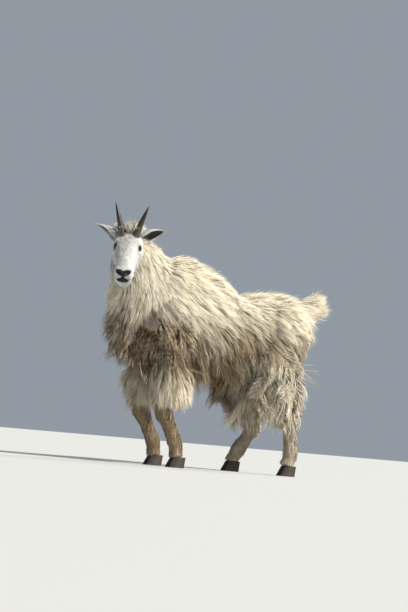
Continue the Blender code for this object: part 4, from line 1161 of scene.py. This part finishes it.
def grow_face(name, keep, seed, length_of, density=1.0, width=0.0019, material=face_hair, **style):
    """One piece of the head's hair, over the part that keep picks in the head's frame."""

    def per_square_metre(p):
        return density * face_density(into_head(p)) * keep(into_head(p))

    root, normal = head_ground.scatter(per_square_metre, seed)
    q = into_head(root)
    back = np.stack([0.25 * np.sign(q[:, 0]), np.ones(len(q)),
                     -0.15 - 0.5 * ease(0.0, -0.05, q[:, 2])], -1)
    length = length_of(q)
    hang = ease(0.010, 0.040, length)[:, None]
    wish = (back @ HEAD_TURN.T) * (1 - hang) + np.array([0, 0.15, -1.0]) * hang
    uv = np.stack([np.arctan2(q[:, 0], q[:, 2] + 0.03) / (2 * np.pi) + 0.5,
                   (0.02 - q[:, 1]) / 0.30], -1)
    settings = dict(lift=0.75 - 0.1 * hang[:, 0], rise=0.10, droop=0.4 * hang[:, 0],
                    gaps=(0.0060, 0.015), draws=(0.15 + 0.30 * hang[:, 0], 0.20 * hang[:, 0]),
                    stretch=1.5, stray=0.08, frizz=0.14, joints=3, tone=0.9, facing=0.4,
                    soil=face_dusk(q))
    settings.update(style)
    made = coat_piece(name, root, normal, along_skin(normal, wish), length,
                      np.clip(length * 0.16, 0.0015, width), uv, material, seed, **settings)


grow_face("face_hair", lambda q: q[:, 2] > -0.050, 71, face_length)
grow_face("jaw_hair", lambda q: q[:, 2] <= -0.050, 72, face_length, width=0.0026)
grow_face("crown_tuft", lambda q: (np.abs(q[:, 0]) < 0.030) & (q[:, 1] > -0.044) & (q[:, 2] > 0.01),
          73, lambda q: 0.048 + 0.010 * ease(-0.03, 0.0, q[:, 1]), density=1.2, lift=2.2,
          rise=0.6, droop=-0.8, gaps=(0.010,), draws=(0.45,), frizz=0.10, width=0.0034, tone=0.5,
          soil=0.0, material=crown_hair)
for n, side in enumerate((1, -1)):
    way, across, ear_root = ears[side][2]
    start = BODY_COUNT + HEAD_COUNT + (n + 1) * LID_COUNT + n * EAR_COUNT
    back_ground = Ground(start + EAR_COUNT // 2, start + EAR_COUNT)
    root, normal = back_ground.scatter(lambda p: np.full(len(p), EAR_TUFTS), 80 + side)
    q = into_head(root)
    t = (q - ear_root) @ way / EAR_LENGTH
    rim = np.abs((q - ear_root) @ across) / 0.0250
    wish = (way + 0.3 * across * np.sign((q - ear_root) @ across)[:, None]) @ HEAD_TURN.T
    length = 0.008 + 0.006 * ease(0.5, 0.9, rim) + 0.006 * ease(0.75, 1.0, t)
    length = length + 0.016 * ease(0.40, 0.05, t)
    uv = np.stack([np.clip(0.5 + rim / 3, 0, 1), np.clip(t, 0, 1)], -1)
    made = coat_piece(("left" if side > 0 else "right") + "_ear_hair", root, normal,
                      along_skin(normal, wish), length, 0.0016, uv, face_hair, 80 + side,
                      lift=0.35, droop=0.0, gaps=(0.008,), draws=(0.3,), frizz=0.10, joints=3,
                      tone=0.5)

# The horns
# Thin black horns of a nanny, hollow keratin grown in rings. They are brown and ringed at
# the base and polished black at the tip. Each is lofted along its curve.
HORN_LENGTH, HORN_BASE = 0.150, 0.0185


def horn(side):
    """A horn that sweeps back towards its tip, and how far along it each point is."""
    start, bend = math.radians(71), math.radians(42)
    steps = 240
    k = np.arange(steps + 1)
    lean = start - bend * (k / steps) ** 1.4
    way = unit(np.stack([np.full(steps + 1, side * 0.320), np.cos(lean), np.sin(lean)], -1))
    path = np.array([side * 0.0265, -0.050, 0.042]) + np.cumsum(way, 0) * HORN_LENGTH / steps
    flat = unit(np.cross(way, np.array([1.0, 0, 0])))
    wide = np.cross(flat, way)
    t = k / steps
    radius = HORN_BASE * (1 - t) ** 0.84 + 0.0009
    ring = np.maximum(np.sin(t * 2 * np.pi * 15), -0.3) * 0.00075 * ease(0.62, 0.10, t)
    radius = radius + ring
    sides = 28
    a = 2 * np.pi * np.arange(sides) / sides
    points = (path[:, None] + wide[:, None] * (np.cos(a) * radius[:, None] * 0.92)[..., None]
              + flat[:, None] * (np.sin(a) * radius[:, None] * 1.08)[..., None])
    return points.reshape(-1, 3), tube_faces(steps + 1, sides), np.repeat(t, sides)


# Keratin: brown and dull near the base, black and smoother at the tip. Streaks 11 mm long and
# a grain drawn at 2.4 mm, coarser than it is, break up the colour and the gloss.
keratin, tree, shader = blank("horn_keratin")
place = node(tree, "ShaderNodeTexCoord").outputs["Object"]
along = node(tree, "ShaderNodeAttribute", attribute_name="along_horn")
ramp = node(tree, "ShaderNodeValToRGB", {"Fac": along.outputs["Fac"]})
ramp.color_ramp.elements[0].color = linear("#5C4E44")
ramp.color_ramp.elements[1].color = linear("#080707")
ramp.color_ramp.elements[1].position = 0.72
middle = ramp.color_ramp.elements.new(0.34)
middle.color = linear("#3E3028")
streaks = node(tree, "ShaderNodeTexNoise",
               {"Vector": place, "Scale": scale_of(11.111), "Detail": 4.0})
colour = node(tree, "ShaderNodeMix",
              {0: 0.45, 6: ramp.outputs["Color"], 7: streaks.outputs["Fac"]},
              data_type="RGBA", blend_type="OVERLAY").outputs[2]
fine = node(tree, "ShaderNodeTexNoise",
            {"Vector": place, "Scale": scale_of(2.381), "Detail": 3.0})
bump = node(tree, "ShaderNodeBump",
            {"Strength": 0.25, "Distance": 0.0005, "Height": fine.outputs["Fac"]})
plug(tree, shader, {"Base Color": colour, "Normal": bump.outputs["Normal"], "Roughness": 0.42})
for side, word in ((1, "left"), (-1, "right")):
    points, faces, t = horn(side)
    made = new_object(word + "_horn_keratin", from_head(points) + ORIGIN, faces)
    attribute(made.data, "along_horn", t)
    made.data.shade_smooth()
    made.data.materials.append(keratin)
    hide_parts(word + "_horn")
    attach(made, "root")

# The eyes
# Wet, nearly black eyeballs, half covered by the lids. The iris is brown towards the level
# slot of the pupil and black at its rim, and the material's clear coat stands for the cornea.
wet_eye, tree, shader = blank("wet_brown_eye")
iris = node(tree, "ShaderNodeAttribute", attribute_name="iris")
shades = node(tree, "ShaderNodeValToRGB", {"Fac": iris.outputs["Fac"]})
shades.color_ramp.elements[0].color = linear("#4A2A12")
shades.color_ramp.elements[1].color = linear("#120A06")
shades.color_ramp.elements[1].position = 0.85
colour = painted(tree, shades.outputs["Color"], (("pupil", linear("#040303")),))
plug(tree, shader, {"Base Color": colour, "Roughness": 0.12, "Coat Weight": 1.0,
                    "Coat Roughness": 0.02})
for side, word in ((1, "left"), (-1, "right")):
    points, faces = egg((0, 0, 0), (EYE_RADIUS,) * 3, 48, 48)
    far = np.hypot(points[:, 0], points[:, 1]) / 0.0095
    pupil = ease(1.15, 0.85, np.hypot(points[:, 0] / 0.0060, points[:, 1] / 0.0026))
    pupil = pupil * (points[:, 2] > 0)
    points = points @ eye_turn(side).T + on_side(EYE_PLACE, side)
    made = new_object(word + "_eyeball", from_head(points) + ORIGIN, faces)
    attribute(made.data, "iris", np.clip(far, 0, 1))
    attribute(made.data, "pupil", pupil)
    made.data.shade_smooth()
    made.data.materials.append(wet_eye)
    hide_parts(word + "_eye")
    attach(made, "root")

# The hooves
# Cloven hooves of dull black horn, each of two pointed claws with a cleft between them and
# faint growth rings. The soles are flat on the floor.
FORE_FOOT, HIND_FEET = -0.204, {1: 0.364, -1: 0.192}


def claw(half):
    """One claw, from its flat sole up to the coronet."""
    rings, sides = 24, 40
    t = np.linspace(0, 1, rings)[:, None]
    a = 2 * np.pi * np.arange(sides)[None] / sides
    ahead, behind = 0.043 - 0.014 * t, 0.032 - 0.004 * t
    wide = 0.0162 - 0.0020 * t + 0.0002 * np.sin(t * 60)
    c, s = np.cos(a), np.sin(a)
    reach = np.where(s > 0, -ahead, behind)
    taper = 1 - 0.42 * np.maximum(s, 0) ** 2
    inner_side = np.where(c * half < 0, 0.80, 1.0)
    x = half * (0.0170 - 0.0020 * t) + c * wide * taper * inner_side
    y = 0.010 * t - 0.004 + np.abs(s) * reach
    z = HOOF_HEIGHT * t + 0 * a
    return np.stack([x, y, z], -1).reshape(-1, 3), tube_faces(rings, sides)


# Hoof horn: dull and near black, dusty in patches of about 22 mm, with growth rings 5.2 mm
# apart. A wave texture repeats every 0.314 m over its scale.
hoof_horn, tree, shader = blank("hoof_horn")
place = node(tree, "ShaderNodeTexCoord").outputs["Object"]
rings = node(tree, "ShaderNodeTexWave",
             {"Vector": place, "Scale": 0.314 * scale_of(5.2333), "Distortion": 1.5, "Detail": 2.0},
             bands_direction="Z")
dust = node(tree, "ShaderNodeTexNoise",
            {"Vector": place, "Scale": scale_of(22.222), "Detail": 5.0})
colour = node(tree, "ShaderNodeMix",
              {0: dust.outputs["Fac"], 6: linear("#1B1715"), 7: linear("#4A4038")},
              data_type="RGBA").outputs[2]
bump = node(tree, "ShaderNodeBump",
            {"Strength": 0.3, "Distance": 0.0006, "Height": rings.outputs["Fac"]})
plug(tree, shader, {"Base Color": colour, "Normal": bump.outputs["Normal"], "Roughness": 0.55})
for side, word in ((1, "left"), (-1, "right")):
    for end in ("fore", "hind"):
        x = side * (FORE_X if end == "fore" else HIND_X)
        y = FORE_FOOT if end == "fore" else HIND_FEET[side]
        bulb = egg((0, 0.008, HOOF_HEIGHT * 0.62), (0.014, 0.020, 0.0135))
        points, faces = joined([claw(1), claw(-1), bulb])
        made = new_object(f"{word}_{end}_claws", points + np.array([x, y, 0]) + ORIGIN, faces)
        made.data.shade_smooth()
        made.data.materials.append(hoof_horn)
        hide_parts(f"{word}_{end}_hoof")
        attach(made, "root")

# The stage
# A plain pale floor, soft studio light with the key from the camera's upper right, and a
# camera low over the floor that looks a little up and is rolled by 5 degrees.
floor = new_object("floor", [(-40, -40, 0), (40, -40, 0), (40, 40, 0), (-40, 40, 0)],
                   [(0, 1, 2, 3)])
pale, tree, shader = blank("pale_matte_floor")
plug(tree, shader, {"Base Color": linear("#C4C5C4"), "Roughness": 0.9})
floor.data.materials.append(pale)

world = bpy.data.worlds.new("soft_studio")
bpy.context.scene.world = world
world.use_nodes = True
plug(world.node_tree, world.node_tree.nodes["Background"],
     {"Color": linear("#CBD5E1"), "Strength": 0.48})

CAMERA_AZIMUTH, CAMERA_DISTANCE, CAMERA_HEIGHT = math.radians(60), 9.0, 0.13
CAMERA_ROLL = math.radians(5)
FRAME_HEIGHT = 2.693
AIM_ASIDE, AIM_HEIGHT = -0.067, 0.716
right = Vector((math.cos(CAMERA_AZIMUTH), math.sin(CAMERA_AZIMUTH), 0))
back = Vector((math.sin(CAMERA_AZIMUTH), -math.cos(CAMERA_AZIMUTH), 0))
beside = right * AIM_ASIDE + Vector(ORIGIN)
eye_point = back * CAMERA_DISTANCE + Vector((0, 0, CAMERA_HEIGHT)) + beside
aim = Vector((0, 0, AIM_HEIGHT)) + beside


def sun(name, way, strength, softness, colour):
    """A distant lamp that stands in a way from the goat. Its softness is in degrees."""
    data = bpy.data.lights.new(name, "SUN")
    data.energy, data.angle, data.color = strength, math.radians(softness), linear(colour)[:3]
    lamp = placed(name, data)
    lamp.rotation_mode = "QUATERNION"
    lamp.rotation_quaternion = Vector(way).to_track_quat("Z", "Y")


sun("key", right * 0.84 + back * 0.36 + Vector((0, 0, 0.82)), 5.1, 5, "#FFFAF0")
sun("rim", right * 0.5 - back * 0.8 + Vector((0, 0, 0.7)), 0.8, 15, "#FFF8EC")

data = bpy.data.cameras.new("camera")
data.sensor_width = 36
data.lens = 36 * CAMERA_DISTANCE / FRAME_HEIGHT
data.clip_end = 200
camera = placed("camera", data)
sight = (eye_point - aim).normalized()
level_up = sight.cross(right)
tilted = right * math.cos(CAMERA_ROLL) + level_up * math.sin(CAMERA_ROLL)
axes = Matrix((tilted, sight.cross(tilted), sight)).transposed()
camera.matrix_world = Matrix.Translation(eye_point) @ axes.to_4x4()
bpy.context.scene.camera = camera
bpy.context.scene.view_settings.view_transform = "Standard"
